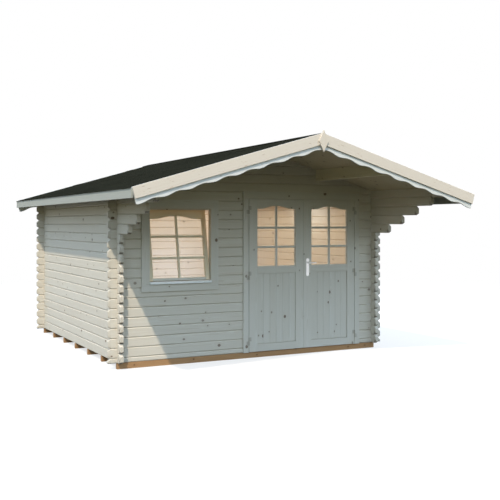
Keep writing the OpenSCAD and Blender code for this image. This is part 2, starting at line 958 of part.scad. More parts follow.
floor_joists();
floor_boards();
left_wall_logs();
left_corbel_logs();
right_wall_logs();
right_corbel_logs();
back_wall_logs();
back_gable_logs();
front_logs_below_window();
front_logs_left();
front_logs_between();
front_log_over_window();
front_logs_right();
front_gable_logs();
purlins();
left_roof_boards();
right_roof_boards();
left_roofing();
right_roofing();
ridge_strip();
eave_boards();
front_bargeboards();
front_wave_boards();
rear_bargeboards();
rear_wave_boards();
finials();
door_frame();
door_trim();
door_hinge_posts();
inner_trim();
left_door_frame();
left_door_boards();
left_door_glass();
left_door_hinges();
right_door_frame();
right_door_boards();
right_door_glass();
right_door_hinges();
handle_plates();
lever_handle();
window_frame();
window_trim();
window_sill();
window_sash();
window_glass();
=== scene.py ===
import bpy
import numpy as np
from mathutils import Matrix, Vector


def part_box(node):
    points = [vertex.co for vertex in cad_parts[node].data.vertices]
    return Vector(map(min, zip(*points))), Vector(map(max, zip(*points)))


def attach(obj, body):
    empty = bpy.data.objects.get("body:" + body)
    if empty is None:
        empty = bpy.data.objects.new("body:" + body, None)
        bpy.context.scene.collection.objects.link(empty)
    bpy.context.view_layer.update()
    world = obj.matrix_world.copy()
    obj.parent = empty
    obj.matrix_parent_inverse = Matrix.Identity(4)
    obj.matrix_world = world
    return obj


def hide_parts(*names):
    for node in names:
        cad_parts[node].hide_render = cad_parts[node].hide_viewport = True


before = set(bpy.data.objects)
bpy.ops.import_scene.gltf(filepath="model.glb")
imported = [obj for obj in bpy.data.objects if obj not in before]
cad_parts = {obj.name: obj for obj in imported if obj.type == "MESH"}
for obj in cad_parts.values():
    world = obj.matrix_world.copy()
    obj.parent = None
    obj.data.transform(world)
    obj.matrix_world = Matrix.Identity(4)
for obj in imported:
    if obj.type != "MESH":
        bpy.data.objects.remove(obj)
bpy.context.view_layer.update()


# Camera: eye height about 1.7 m, in front of the cabin and to its left, held level.
# The lens shift only gives the photograph's framing.
def linked(name, data):
    """A new object with this data, linked to the scene."""
    thing = bpy.data.objects.new(name, data)
    bpy.context.collection.objects.link(thing)
    return thing


camera_data = bpy.data.cameras.new("photo_camera")
camera_data.lens = 59.08
camera_data.sensor_width = 36.0
camera_data.shift_x = -0.0420
camera_data.shift_y = -0.0521
camera_data.clip_end = 300.0
camera = linked("photo_camera", camera_data)
camera.location = (-4.714, -10.9427, 1.6702)
camera.rotation_euler = (np.pi / 2, 0.0, -np.radians(28.3755))
bpy.context.scene.camera = camera
bpy.context.scene.view_settings.view_transform = "Standard"


# Studio: a pale floor that shows white to the lens and keeps a soft shadow, a key lamp from the left front,
# a cool fill from above that turns warm near the ground, and three panels in the room behind the glass, which
# light its floor, its back wall and its right wall.
class Wire:
    """One output in a node tree. Sums on wires and numbers add Math nodes; node() adds any other node."""

    def __init__(self, tree, socket=None):
        self.tree = tree
        self.socket = socket

    def node(self, kind, settings=None, inputs=None, out=0):
        """Adds a node: its settings first, then the values or links of its sockets; gives one output."""
        added = self.tree.nodes.new(kind)
        for name, value in (settings or {}).items():
            setattr(added, name, value)
        for key, value in (inputs or {}).items():
            if isinstance(value, Wire):
                self.tree.links.new(value.socket, added.inputs[key])
            else:
                added.inputs[key].default_value = value
        return Wire(self.tree, added.outputs[out] if len(added.outputs) else None)

    def also(self, out):
        """Another output of the same node."""
        return Wire(self.tree, self.socket.node.outputs[out])

    def math(self, operation, *others):
        return self.node("ShaderNodeMath", {"operation": operation}, dict(enumerate((self, *others))))

    def vector(self, operation, *others, out=0):
        inputs = dict(enumerate((self, *others)))
        return self.node("ShaderNodeVectorMath", {"operation": operation}, inputs, out)

    def parts(self):
        split = self.node("ShaderNodeSeparateXYZ", None, {0: self})
        return split, split.also(1), split.also(2)

    def clamp(self):
        return self.node("ShaderNodeClamp", None, {0: self})

    def blend(self, first, second):
        """Colour between first, where this wire is 0, and second, where it is 1: wires or plain colours."""
        first, second = (end if isinstance(end, Wire) else (*end, 1.0) for end in (first, second))
        return self.node("ShaderNodeMix", {"data_type": "RGBA"}, {0: self, 6: first, 7: second}, 2)

    def place(self):
        """Place in the object's own axes, in metres; for the world, the direction of the ray."""
        return self.node("ShaderNodeTexCoord", out="Object")

    def noise(self, scale, detail=2.0):
        """Smooth noise from 0 to 1 with this many periods per metre along each axis of this vector."""
        scaled = self.vector("MULTIPLY", scale)
        return self.node("ShaderNodeTexNoise", None, {"Vector": scaled, "Scale": 1.0, "Detail": detail})

    def __add__(self, other):
        return self.math("ADD", other)

    def __sub__(self, other):
        return self.math("SUBTRACT", other)

    def __mul__(self, other):
        return self.math("MULTIPLY", other)

    def __truediv__(self, other):
        return self.math("DIVIDE", other)

    def __pow__(self, other):
        return self.math("POWER", other)

    def __lt__(self, other):
        return self.math("LESS_THAN", other)

    def __gt__(self, other):
        return self.math("GREATER_THAN", other)

    def __rsub__(self, other):
        return self * -1.0 + other

    __radd__ = __add__
    __rmul__ = __mul__


def emptied(owner):
    """Empties the node tree of a material or world, and gives the start of its wires."""
    owner.use_nodes = True
    owner.node_tree.nodes.clear()
    return Wire(owner.node_tree)


def seen_rays(start):
    """1 for rays that show the background to the lens, directly or by way of metal or glass."""
    path = start.node("ShaderNodeLightPath")
    return path.math("MAXIMUM", path.also("Is Glossy Ray")).math("MAXIMUM", path.also("Is Transmission Ray"))


WHITE = (1.0, 1.0, 1.0, 1.0)
floor_material = bpy.data.materials.new("studio_floor")
start = emptied(floor_material)
distance = start.place().vector("LENGTH", out=1)
near_white, white_from, white_over = 0.72, 4.0, 9.0
whitening = ((distance - white_from) / white_over).clamp() * (1.0 - near_white) + near_white
dull = start.node("ShaderNodeBsdfDiffuse", None, {"Color": (0.022, 0.022, 0.014, 1.0)})
pale = start.node("ShaderNodeBsdfDiffuse", None, {"Color": (0.90, 0.90, 0.90, 1.0)})
white = start.node("ShaderNodeEmission", None, {"Color": WHITE, "Strength": 1.0})
shown = start.node("ShaderNodeMixShader", None, {0: whitening, 1: pale, 2: white})
surface = start.node("ShaderNodeMixShader", None, {0: seen_rays(start), 1: dull, 2: shown})
start.node("ShaderNodeOutputMaterial", None, {"Surface": surface})
disc_sides, disc_radius, disc_height = 96, 60.0, -0.001
turn = np.linspace(0.0, 2.0 * np.pi, disc_sides, endpoint=False)
rim = np.stack([disc_radius * np.cos(turn), disc_radius * np.sin(turn), np.full(disc_sides, disc_height)], -1)
floor_mesh = bpy.data.meshes.new("studio_floor")
floor_mesh.from_pydata(rim.tolist(), [], [list(range(disc_sides))])
floor_mesh.materials.append(floor_material)
floor = linked("studio_floor", floor_mesh)

world = bpy.data.worlds.new("studio_fill")
bpy.context.scene.world = world
start = emptied(world)
sideways, ahead, height = start.place().parts()
toward = (ahead * -1.0).clamp()
leftward = (sideways * -1.0).clamp()
horizon = toward.blend(leftward.blend((0.15, 0.15, 0.02), (0.95, 0.92, 0.52)), (0.36, 0.34, 0.0))
side_box = toward.blend((0.71, 0.955, 1.21), (1.90, 2.24, 2.56))
low_box = ((height / 0.25).clamp() ** 1.8).blend(horizon, side_box)
soft_box = ((height - 0.20) / 0.45).clamp().blend(low_box, (1.18, 1.52, 1.95))
fill = start.node("ShaderNodeBackground", None, {"Color": soft_box, "Strength": 1.0})
white = start.node("ShaderNodeBackground", None, {"Color": WHITE, "Strength": 1.0})
surface = start.node("ShaderNodeMixShader", None, {0: seen_rays(start), 1: fill, 2: white})
start.node("ShaderNodeOutputWorld", None, {"Surface": surface})

key_data = bpy.data.lights.new("key_lamp", "SUN")
key_data.energy = 3.25
key_data.angle = np.radians(0.9)
key_data.color = (1.0, 0.85, 0.67)
key = linked("key_lamp", key_data)
sunlight = Vector((0.845, 1.0, -1.60))
key.rotation_euler = sunlight.to_track_quat("-Z", "Y").to_euler()
down, back, right = (0.0, 0.0, 0.0), (np.pi / 2, 0.0, 0.0), (np.pi / 2, 0.0, -np.pi / 2)
for lamp, watts, tint, size, place, facing in (
        ("roof_panel", 50.0, (1.0, 0.98, 0.90), (3.2, 3.2), (0.0, 0.05, 1.94), down),
        ("wall_panel", 6.2, (0.68, 0.99, 1.56), (1.1, 1.1), (0.27, 0.95, 0.86), back),
        ("side_panel", 1.45, (0.78, 1.0, 1.25), (0.8, 0.25), (1.40, -0.20, 1.85), right)):
    panel_data = bpy.data.lights.new(lamp, "AREA")
    panel_data.shape = "RECTANGLE"
    panel_data.size, panel_data.size_y = size
    panel_data.energy = watts
    panel_data.color = tint
    panel = linked(lamp, panel_data)
    panel.location = place
    panel.rotation_euler = facing
    panel.visible_camera = False


# Floor joists: seven brown impregnated softwood bearers, sawn square and laid crosswise on the ground.
# The lowest logs rest on them and their ends show below the side walls.
HALF_W, HALF_D, JOIST_W, JOIST_H = 1.794, 1.820, 0.045, 0.070
SAWN = ((0.0, 0.0014), (0.0014, 0.0))


def eased(corners, radius, bends=2):
    """A closed outline with eased corners: each corner p becomes the quadratic curve from the point at radius
    before it, through p's pull, to the point at radius after it."""
    p = np.asarray(corners, float)
    back, ahead = np.roll(p, 1, 0) - p, np.roll(p, -1, 0) - p
    back_l = np.linalg.norm(back, axis=1, keepdims=True)
    ahead_l = np.linalg.norm(ahead, axis=1, keepdims=True)
    r = np.minimum(radius, 0.45 * np.minimum(back_l, ahead_l))
    t = np.linspace(0.0, 1.0, bends + 1)[None, :, None]
    first, last = (p + back / back_l * r)[:, None], (p + ahead / ahead_l * r)[:, None]
    return ((1 - t) ** 2 * first + 2 * t * (1 - t) * p[:, None] + t ** 2 * last).reshape(-1, 2)


def rectangle(across, up, radius=0.002):
    """Eased rectangle over the two ranges, across and up."""
    (b0, b1), (c0, c1) = across, up
    return eased([(b0, c0), (b1, c0), (b1, c1), (b0, c1)], radius)


def carried(sections):
    """Closed skin over a row of outlines of equal point count: quads join neighbouring outlines, one polygon
    closes each end, and the skin is turned outwards by the sign of its volume, a sum of p0 . (p1 x p2)."""
    rows, count = sections.shape[:2]
    corner = np.arange(rows * count).reshape(rows, count)
    a, b = corner[:-1], corner[1:]
    quads = np.stack([a, np.roll(a, -1, 1), np.roll(b, -1, 1), b], -1).reshape(-1, 4)
    caps = np.stack([corner[0, ::-1], corner[-1]])
    p = sections.reshape(-1, 3) - sections.reshape(-1, 3).mean(0)
    q, c = p[quads], p[caps]
    volume = np.einsum("ij,ij->", q[:, 0], np.cross(q[:, 1], q[:, 2]) + np.cross(q[:, 2], q[:, 3]))
    volume += np.einsum("ij,ikj->", c[:, 0], np.cross(c[:, 1:-1], c[:, 2:]))
    turned_out = slice(None) if volume > 0 else slice(None, None, -1)
    return {"points": sections.reshape(-1, 3), "quads": quads[:, turned_out], "caps": caps[:, turned_out]}


def timber(rng, outline, stations, at=(0, 0, 0), along=(1, 0, 0), across=(0, 1, 0), up=(0, 0, 1),
           shape=None, ends=(SAWN, SAWN), joint=0.0, grain=(0, 1, 2)):
    """A piece of wood: an outline (across, up) carried along a line through the stations, drawn in near each
    end by the (distance, inset) steps of that end, moved by shape in its own axes, then placed. It carries
    its place in the tree, along the grain, across and up from the pith, and tone, end and joint marks."""
    outline = np.asarray(outline, float)
    run = [(stations[0] + d, i) for d, i in ends[0]] + [(s, 0.0) for s in stations[1:-1]]
    run += [(stations[-1] - d, i) for d, i in reversed(ends[1])]
    place, inset = np.array(run).T
    middle = (outline.max(0) + outline.min(0)) / 2
    drawn = 1.0 - inset[:, None, None] * (0.6, 1.0) / (np.ptp(outline, axis=0) / 2)
    local = np.empty((len(run), len(outline), 3))
    local[..., 0] = place[:, None]
    local[..., 1:] = middle + (outline - middle) * drawn
    wood = local - (0.0, *middle)
    if shape is not None:
        local = shape(local)
    wood = wood[..., list(grain)] + rng.uniform((0.0, -0.07, -0.05), (60.0, -0.015, 0.05))
    cut = np.zeros_like(local)
    cut[..., 0] = np.clip(rng.normal(), -2.0, 2.0)
    cut[[0, -1], :, 1] = 1.0
    cut[..., 2] = joint
    skin = carried(np.asarray(at) + local @ np.array([along, across, up], float))
    return skin | {"wood": wood.reshape(-1, 3), "cut": cut.reshape(-1, 3)}


def true_normals(mesh):
    """Corner normals: round each point, the normals of the faces that turn less than 33 degrees from the
    corner's own face are summed by their areas, so that flat faces stay flat and eased edges look soft."""
    corners, faces = len(mesh.loops), len(mesh.polygons)
    point, total = np.empty(corners, np.int32), np.empty(faces, np.int32)
    normal, area = np.empty(faces * 3, np.float32), np.empty(faces, np.float32)
    mesh.loops.foreach_get("vertex_index", point)
    mesh.polygons.foreach_get("loop_total", total)
    mesh.polygons.foreach_get("normal", normal)
    mesh.polygons.foreach_get("area", area)
    normal, face = normal.reshape(-1, 3), np.repeat(np.arange(faces), total)
    order = np.argsort(point, kind="stable")
    first = np.searchsorted(point[order], np.arange(len(mesh.vertices) + 1))
    met, rank = np.diff(first)[point], np.empty(corners, int)
    rank[order] = np.arange(corners) - first[point[order]]
    summed = np.zeros((corners, 3))
    for turn in range(met.max()):
        other = face[order[first[point] + (rank + turn) % met]]
        near = (normal[face] * normal[other]).sum(1) > np.cos(np.radians(33.0))
        summed += normal[other] * (area[other] * near * (turn < met))[:, None]
    mesh.normals_split_custom_set((summed / np.linalg.norm(summed, axis=1, keepdims=True)).tolist())


def made(name, skins, finish, slot, body, *nodes):
    """Joins skins into one object, sets its normals, gives it its finish and ties it to the frame."""
    first = np.cumsum([0] + [len(s["points"]) for s in skins])
    faces = sum(((s["quads"] + f).tolist() + (s["caps"] + f).tolist() for s, f in zip(skins, first)), [])
    mesh = bpy.data.meshes.new(name)
    mesh.from_pydata(np.concatenate([s["points"] for s in skins]).tolist(), [], faces)
    for mark in ("wood", "cut"):
        if mark in skins[0]:
            values = np.concatenate([s[mark] for s in skins]).astype(np.float32)
            mesh.attributes.new(mark, "FLOAT_VECTOR", "POINT").data.foreach_set("vector", values.ravel())
    mesh.polygons.foreach_set("use_smooth", np.ones(len(mesh.polygons), bool))
    true_normals(mesh)
    mesh.materials.append(finish)
    piece = linked(name, mesh)
    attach(piece, body)
    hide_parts(*nodes)


def finish_start(name):
    """A new material and the start of its wires."""
    material = bpy.data.materials.new(name)
    return material, emptied(material)


def finish_end(start, sockets):
    """Closes a material with one Principled shader, given its sockets."""
    shader = start.node("ShaderNodeBsdfPrincipled", None, sockets)
    start.node("ShaderNodeOutputMaterial", None, {"Surface": shader})


def wood_finish(name, early, late, knot, knots=0.5, room=None):
    """Softwood, worked out through the solid. A ring is the fraction of the distance from the pith over the
    ring width, swayed by slow noise and pushed outwards round knots; the late wood is its cube. Knots are the
    uneven neighbourhood of scattered cell points on the broad face, darker at the rim. A joint mark over 1 is
    painted shade, darkening the underside of a bevelled end. room gives early and late wood in the room."""
    material, start = finish_start(name)
    place = start.node("ShaderNodeAttribute", {"attribute_name": "wood"}, out="Vector")
    tone, end, joint = start.node("ShaderNodeAttribute", {"attribute_name": "cut"}, out="Vector").parts()
    along, across, up = place.parts()
    cell_long, cell_wide = 0.27, 0.10
    cells = start.node("ShaderNodeCombineXYZ", None, {0: along / cell_long, 1: up / cell_wide})
    cell = {"Vector": cells, "Scale": 1.0, "Randomness": 0.85}
    scatter = start.node("ShaderNodeTexVoronoi", {"voronoi_dimensions": "2D"}, cell, "Color")
    offset = cells.vector("SUBTRACT", scatter.also("Position"))
    offset = offset.vector("MULTIPLY", (cell_long, cell_wide, 0.0))
    chance, size, shade = scatter.parts()
    there = chance < knots
    reach = offset.vector("MULTIPLY", (0.8, 1.0, 0.0)).vector("LENGTH", out=1)
    away = reach + place.noise((50.0, 70.0, 70.0), 2.0) * 0.006 - 0.003
    radius = size * size * size * 0.010 + 0.0090
    core = ((radius - away) / 0.003).clamp() * there
    round_it = ((away / radius) ** 2.0 * -0.22).math("EXPONENT") * there
    sway = place.noise((0.7, 4.0, 4.0), 1.0)
    depth = (across * across + up * up) ** 0.5 + sway * 0.03 + round_it * 0.010
    ring_width = 0.0042
    ring_place = (depth / ring_width).math("FRACT")
    late_wood = ring_place * ring_place * ring_place
    fibre = place.noise((9.0, 380.0, 380.0), 3.0)
    cloud = place.noise((1.6, 9.0, 9.0), 2.0)
    if room is not None:
        x, y = start.place().parts()[:2]
        within = 0.030
        inside = (x.math("ABSOLUTE") < HALF_W - within) * (y.math("ABSOLUTE") < HALF_D - within)
        early, late = inside.blend(early, room[0]), inside.blend(late, room[1])
    grown = (late_wood * 0.70 + fibre * 0.6 + cloud * 0.40 - 0.45).clamp().blend(early, late)
    toned = (tone * 0.08 + 0.20).clamp().blend(grown, late)
    ringed = (round_it * 0.35 + end * 0.12 + joint * 0.35).clamp().blend(toned, late)
    rim = ((away / radius) ** 4.0 * 0.6 + fibre * 0.5).clamp()
    knot_wood = rim.blend([1.9 * k for k in knot], [0.6 * k for k in knot])
    # A joint mark over 1 is painted shade: the undersides of bevelled log ends turn dark.
    colour = (core * (shade * 0.38 + 0.60) + (joint - 1.0).clamp() * 0.55).clamp().blend(ringed, knot_wood)
    grain = late_wood * 0.6 + fibre * 0.5 - core * 0.5
    bump = start.node("ShaderNodeBump", None, {"Strength": 0.35, "Distance": 0.0006, "Height": grain})
    finish_end(start, {"Base Color": colour, "Roughness": fibre * 0.2 + late_wood * -0.1 + 0.52,
                       "Normal": bump, "Specular IOR Level": 0.35})
    return material


joist_wood = wood_finish("brown_joist_wood", (0.43, 0.25, 0.118), (0.25, 0.135, 0.060), (0.07, 0.035, 0.016))
rng = np.random.default_rng(2)
joist_count = 7
joist_y = -HALF_D + np.arange(joist_count) * (2 * HALF_D - JOIST_W) / (joist_count - 1)
joist_outline = rectangle((0.0, JOIST_W), (0.0, JOIST_H), 0.0025)
made("joist_bearers", [timber(rng, joist_outline, (-HALF_W, HALF_W), (0.0, y, 0.0)) for y in joist_y],
     joist_wood, "joist_wood", "root", "floor_joists")


# Floor: planed pine boards 120 mm wide, tongued and grooved, with a small V at each joint.
# They run front to back across the joists and stop short of the walls.
PINE = ((0.66, 0.52, 0.365), (0.53, 0.37, 0.215))
bare_pine = wood_finish("bare_pine", *PINE, (0.20, 0.10, 0.045))
FLOOR_X, FLOOR_Y, FLOOR_Z, FLOOR_T = 1.742, 1.768, JOIST_H, 0.018


def board_outline(width, thick, vee, play=0.0002):
    """Board seen on end, across its thickness and up its width; a vee cuts both edges of the face at 0."""
    return eased([(0.0, play + vee), (vee, play), (thick, play), (thick, width - play),
                  (vee, width - play), (0.0, width - play - vee)], 0.0008, 1)


rng = np.random.default_rng(3)
floor_count = 29
floor_wide = 2 * FLOOR_X / floor_count
floor_boards = [timber(rng, board_outline(floor_wide, FLOOR_T, 0.002), (-FLOOR_Y, FLOOR_Y),
                       (-FLOOR_X + i * floor_wide, 0.0, FLOOR_Z + FLOOR_T), (0, 1, 0), (0, 0, -1), (1, 0, 0))
                for i in range(floor_count)]
made("floor_planks", floor_boards, bare_pine, "bare_pine", "root", "floor_boards")


# Side walls: planed softwood logs 44 by 114 mm with chamfered edges and a tongue on top, notched above and
# below where the end walls cross, so that each corner locks. The free ends are bevelled.
PITCH, LOG_T, LOG_END, BASE, PLAY = 0.114, 0.044, 0.108, JOIST_H, 0.0003
FRONT_TO_BACK, FAR, STEP = ((0, 1, 0), (1, 0, 0), (0, 0, 1)), 9.0, 0.001
NOTCH = PITCH / 4 + PLAY / 2
SIDE_AXIS, END_AXIS = HALF_W - LOG_T / 2, HALF_D - LOG_T / 2
TOP_L, TOP_H, UNDER_L, UNDER_H, TIP, SOFT = 0.028, 0.031, 0.034, 0.024, 0.0012, 0.0015
BEVELLED = ((0.0, 0.0008), *((distance, 0.0) for distance in (TIP, TOP_L - SOFT, TOP_L + SOFT, UNDER_L - SOFT,
                                                              UNDER_L + SOFT)))
log_wood = wood_finish("pale_log_wood", (0.66, 0.635, 0.565), (0.545, 0.49, 0.405), (0.11, 0.075, 0.05),
                       knots=0.20, room=((0.68, 0.575, 0.44), (0.56, 0.43, 0.28)))


def log_outline(height):
    """Log seen on end: chamfered edges, a tongue on top and a groove below; joint marks the joint's faces."""
    half, cut, tongue, rise = LOG_T / 2, 0.0095, 0.006, 0.008
    right = [(half - cut, 0.0), (half, cut), (half, height - cut), (half - cut, height),
             (tongue, height), (tongue, height + rise)]
    groove = [(-tongue - PLAY, 0.0), (-tongue - PLAY, rise + 2 * PLAY),
              (tongue + PLAY, rise + 2 * PLAY), (tongue + PLAY, 0.0)]
    left = [(-b, c) for b, c in reversed(right)]
    joint = [1, 0, 0, 1, 1, 1, 1, 1, 1, 0, 0, 1, 1, 1, 1, 1]
    return eased(right + left + groove, 0.0016), np.repeat(np.array(joint, float), 3)


def pressed(height, low, high):
    """Heights outside low to high are pressed to the nearer limit, keeping a fiftieth of their distance."""
    return np.clip(height, low, high) + 0.02 * (height - np.clip(height, low, high))


def notch_stations(start, stop, crossings):
    """Places along a log where its section changes: its ends and both sides of each crossing."""
    half = LOG_T / 2 + PLAY
    steps = [c + s for c in crossings if start < c < stop for s in (-half - STEP, -half, half, half + STEP)]
    return [start, *sorted(steps), stop]


def end_bevel(left, length, height):
    """Cut of a bevel with softened edges at the distance left from a free end: none from its length on."""
    places = (0.0, TIP, length - SOFT, length + SOFT)
    return np.interp(left, places, (height + 0.0008, height - 0.0014, 0.0016, 0.0))


def worked(crossings, height, free_ends, below=True, above=True):
    """Shape of a log's necks and free ends: within half a log of a crossing its height is pressed between the
    notches, and towards a free end between a bevel above and a longer one below."""
    def shape(local):
        along, up = local[..., 0], local[..., 2]
        near = np.min(np.abs(along[..., None] - np.array(crossings)), -1) < LOG_T / 2 + 2 * PLAY
        low, high = NOTCH if below else -FAR, height - NOTCH if above else FAR
        up = np.where(near, pressed(up, low, high), up)
        left = np.min(np.abs(along[..., None] - np.array(free_ends)), -1)
        under = end_bevel(left, UNDER_L, UNDER_H) if below else -FAR
        bevel = pressed(up, under, height - end_bevel(left, TOP_L, TOP_H))
        local[..., 2] = np.where(left < UNDER_L + STEP, bevel, up)
        return local
    return shape


def painted_shade_under_ends(skin, outline, ends, mark=2.0):
    """Marks the undersides of the bevelled ends with painted shade, which darkens them in the wood finish."""
    marks = skin["cut"].reshape(-1, len(outline), 3)
    under = outline[:, 1] < outline[:, 1].mean()
    for rows, end in ((slice(1, 5), ends[0]), (slice(-5, -1), ends[1])):
        if end is BEVELLED:
            marks[rows, under, 2] = mark
    return skin


def side_log(rng, side, course, front, roof=None):
    """One log of a side wall, from its front end to the back, cut under the roof where roof is given."""
    height = PITCH - PLAY
    outline, joint = log_outline(height)
    crossings = (-END_AXIS, END_AXIS)
    front += rng.uniform(0.0, 0.003)
    form = worked(crossings, height, (front, HALF_D + LOG_END), True, roof is None)
    low = BASE + course * PITCH

    def shape(local):
        local = form(local)
        if roof is not None:
            top = roof(SIDE_AXIS + side * local[..., 1]) - PLAY - low
            local[..., 2] = pressed(local[..., 2], -FAR, top)
        return local

    stations = notch_stations(front, HALF_D + LOG_END, crossings)
    ends = (BEVELLED, BEVELLED)
    skin = timber(rng, outline, stations, (side * SIDE_AXIS, 0.0, low), *FRONT_TO_BACK, shape, ends, joint)
    # The undersides of the bevelled ends get painted shade.
    return painted_shade_under_ends(skin, outline, ends)


COURSES, CORBELS, SIDES = 18, 5, ((-1, "left"), (1, "right"))
for side, wall in SIDES:
    rng = np.random.default_rng(10 + side)
    logs = [side_log(rng, side, k, -HALF_D - LOG_END) for k in range(COURSES - CORBELS)]
    made(wall + "_wall_timbers", logs, log_wood, "log_wood", "root", wall + "_wall_logs")


# Canopy brackets: the five top courses of each side wall, each reaching further forward than the one below.
# The last one is bevelled to the roof slope and carries the roof boards to the front edge.
SLOPE = np.radians(16.3)
SLOPE_TAN, SLOPE_COS, SLOPE_SIN = np.tan(SLOPE), np.cos(SLOPE), np.sin(SLOPE)
CANOPY, CORBEL_FIRST, EDGE_T, ROOF_SEAT = 1.584, 0.395, 0.018, 0.004
RIDGE_UNDER = BASE + COURSES * PITCH - ROOF_SEAT + (HALF_W - LOG_T) * SLOPE_TAN
CORBEL_STEP = (CANOPY - 2 * EDGE_T - PLAY - CORBEL_FIRST) / (CORBELS - 1)


def roof_under(x):
    """Height of the underside of the roof boards: the ridge less the distance from it times the slope."""
    return RIDGE_UNDER - np.abs(x) * SLOPE_TAN


for side, wall in SIDES:
    rng = np.random.default_rng(20 + side)
    logs = [side_log(rng, side, COURSES - CORBELS + i, -HALF_D - CORBEL_FIRST - i * CORBEL_STEP,
                     roof_under if i == CORBELS - 1 else None) for i in range(CORBELS)]
    made(wall + "_canopy_brackets", logs, log_wood, "log_wood", "root", wall + "_corbel_logs")


# End walls: logs half a course lower than those of the side walls, with a half log at the bottom.
# The front ones are cut for the door and the window, and their cut ends run into the frames.
def end_log(rng, course, start, stop, wall_y, shape=None):
    """One log of an end wall from start to stop; ends past the side walls are bevelled, the others sawn."""
    low = BASE + max(course - 0.5, 0.0) * PITCH
    height = BASE + (course + 0.5) * PITCH - PLAY - low
    outline, joint = log_outline(height)
    crossings = [x for x in (-SIDE_AXIS, SIDE_AXIS) if start < x < stop]
    stations = notch_stations(start, stop, crossings) if shape is None else shape[0]
    free_ends = [x for x in (start, stop) if abs(x) > HALF_W]
    form = shape[1] if shape else worked(crossings, height, free_ends, course > 0) if crossings else None
    ends = [BEVELLED if x in free_ends else SAWN for x in (start, stop)]
    skin = timber(rng, outline, stations, (0.0, wall_y, low), shape=form, ends=ends, joint=joint)
    # The end walls' log ends get a lighter painted shade under their bevels.
    return painted_shade_under_ends(skin, outline, ends, 1.4)


WALL_END = HALF_W + LOG_END
WINDOW_X = (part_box("front_logs_left")[1].x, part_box("front_logs_between")[0].x)
DOOR_X = (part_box("front_logs_between")[1].x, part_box("front_logs_right")[0].x)
SILL_COURSE, WINDOW_COURSE = 8, 16
front_runs = {
    "front_logs_below_window": (-WALL_END, DOOR_X[0], range(SILL_COURSE)),
    "front_logs_left": (-WALL_END, WINDOW_X[0], range(SILL_COURSE, WINDOW_COURSE + 1)),
    "front_logs_between": (WINDOW_X[1], DOOR_X[0], range(SILL_COURSE, WINDOW_COURSE + 1)),
    "front_log_over_window": (-WALL_END, DOOR_X[0], range(WINDOW_COURSE + 1, COURSES)),
    "front_logs_right": (DOOR_X[1], WALL_END, range(COURSES)),
}
rng = np.random.default_rng(30)
for node, (start_x, stop_x, courses) in front_runs.items():
    logs = [end_log(rng, j, start_x, stop_x, -END_AXIS) for j in courses]
    made(node.replace("logs", "timbers").replace("log_", "timber_"), logs, log_wood, "log_wood", "root", node)
logs = [end_log(rng, j, -WALL_END, WALL_END, END_AXIS) for j in range(COURSES)]
made("back_wall_timbers", logs, log_wood, "log_wood", "root", "back_wall_logs")


# Gables: shorter logs stacked between the side walls, sawn to the roof slope and round the purlins.
# A purlin that takes a log's whole height parts it in two.
PURLIN_X, PURLIN_W, PURLIN_H = (-0.9, 0.0, 0.9), 0.044, 0.130


def purlin_low(x):
    """Height of a purlin's underside: the roof boards' at its lower edge, less the height of the purlin."""
    return roof_under(abs(x) + PURLIN_W / 2) - PURLIN_H


def gable_logs(rng, wall_y):
    """The logs of one gable: each log's top is pressed under the roof line, and down to the purlins that it
    carries; where a purlin takes its whole height, the log is in two lengths."""
    logs = []
    half, thinnest = PURLIN_W / 2 + PLAY, 0.012
    for course in range(COURSES, COURSES + 5):
        low = BASE + (course - 0.5) * PITCH
        reach = min(HALF_W - LOG_T - PLAY, (RIDGE_UNDER - low - 0.0015) / SLOPE_TAN)
        full = (RIDGE_UNDER - low - PITCH) / SLOPE_TAN
        cuts = [x for x in PURLIN_X if abs(x) < reach and purlin_low(x) < low + thinnest]
        notches = [x for x in PURLIN_X if abs(x) < reach and low + thinnest <= purlin_low(x) < low + PITCH]

        def shape(local, low=low, notches=notches):
            top = roof_under(local[..., 0]) - PLAY - low
            for x in notches:
                top = np.where(np.abs(local[..., 0] - x) < half + PLAY, purlin_low(x) - PLAY - low, top)
            local[..., 2] = pressed(local[..., 2], -FAR, top)
            return local

        edges = [-reach, *[x + s * half for x in cuts for s in (-1, 1)], reach]
        for start_x, stop_x in zip(edges[::2], edges[1::2]):
            steps = [x + s for x in notches for s in (-half - STEP, -half, half, half + STEP)]
            steps += [x for x in (-full, full, 0.0) if not any(abs(x - n) < half + 2 * STEP for n in notches)]
            inner = [x for x in sorted(steps) if start_x + 3 * STEP < x < stop_x - 3 * STEP]
            logs.append(end_log(rng, course, start_x, stop_x, wall_y, ([start_x, *inner, stop_x], shape)))
    return logs


rng = np.random.default_rng(40)
made("front_gable_timbers", gable_logs(rng, -END_AXIS), log_wood, "log_wood", "root", "front_gable_logs")
made("back_gable_timbers", gable_logs(rng, END_AXIS), log_wood, "log_wood", "root", "back_gable_logs")


# Purlins: three planed pine beams from the front edge of the canopy to the back edge of the roof.
# They lie in the gables and their tops follow the roof slope.
canopy_pine = wood_finish("canopy_pine", (0.73, 0.685, 0.51), (0.60, 0.53, 0.365), (0.14, 0.09, 0.05),
                          room=PINE)
REAR_OUT = 0.275
FRONT_Y, REAR_Y = -HALF_D - CANOPY, HALF_D + REAR_OUT
DECK_Y = (FRONT_Y + 2 * EDGE_T + PLAY, REAR_Y - 2 * EDGE_T - PLAY)
rng = np.random.default_rng(50)
beams = []
for x in PURLIN_X:
    left_x, right_x, low = x - PURLIN_W / 2, x + PURLIN_W / 2, purlin_low(x)
    top = [(right_x, roof_under(right_x)), (x, roof_under(x)), (left_x, roof_under(left_x))]
    corners = np.array([(left_x, low), (right_x, low), *top]) - (0.0, PLAY)
    beams.append(timber(rng, eased(corners, 0.003), DECK_Y, (0, 0, 0), *FRONT_TO_BACK))
made("roof_purlins", beams, canopy_pine, "bare_pine", "root", "purlins")


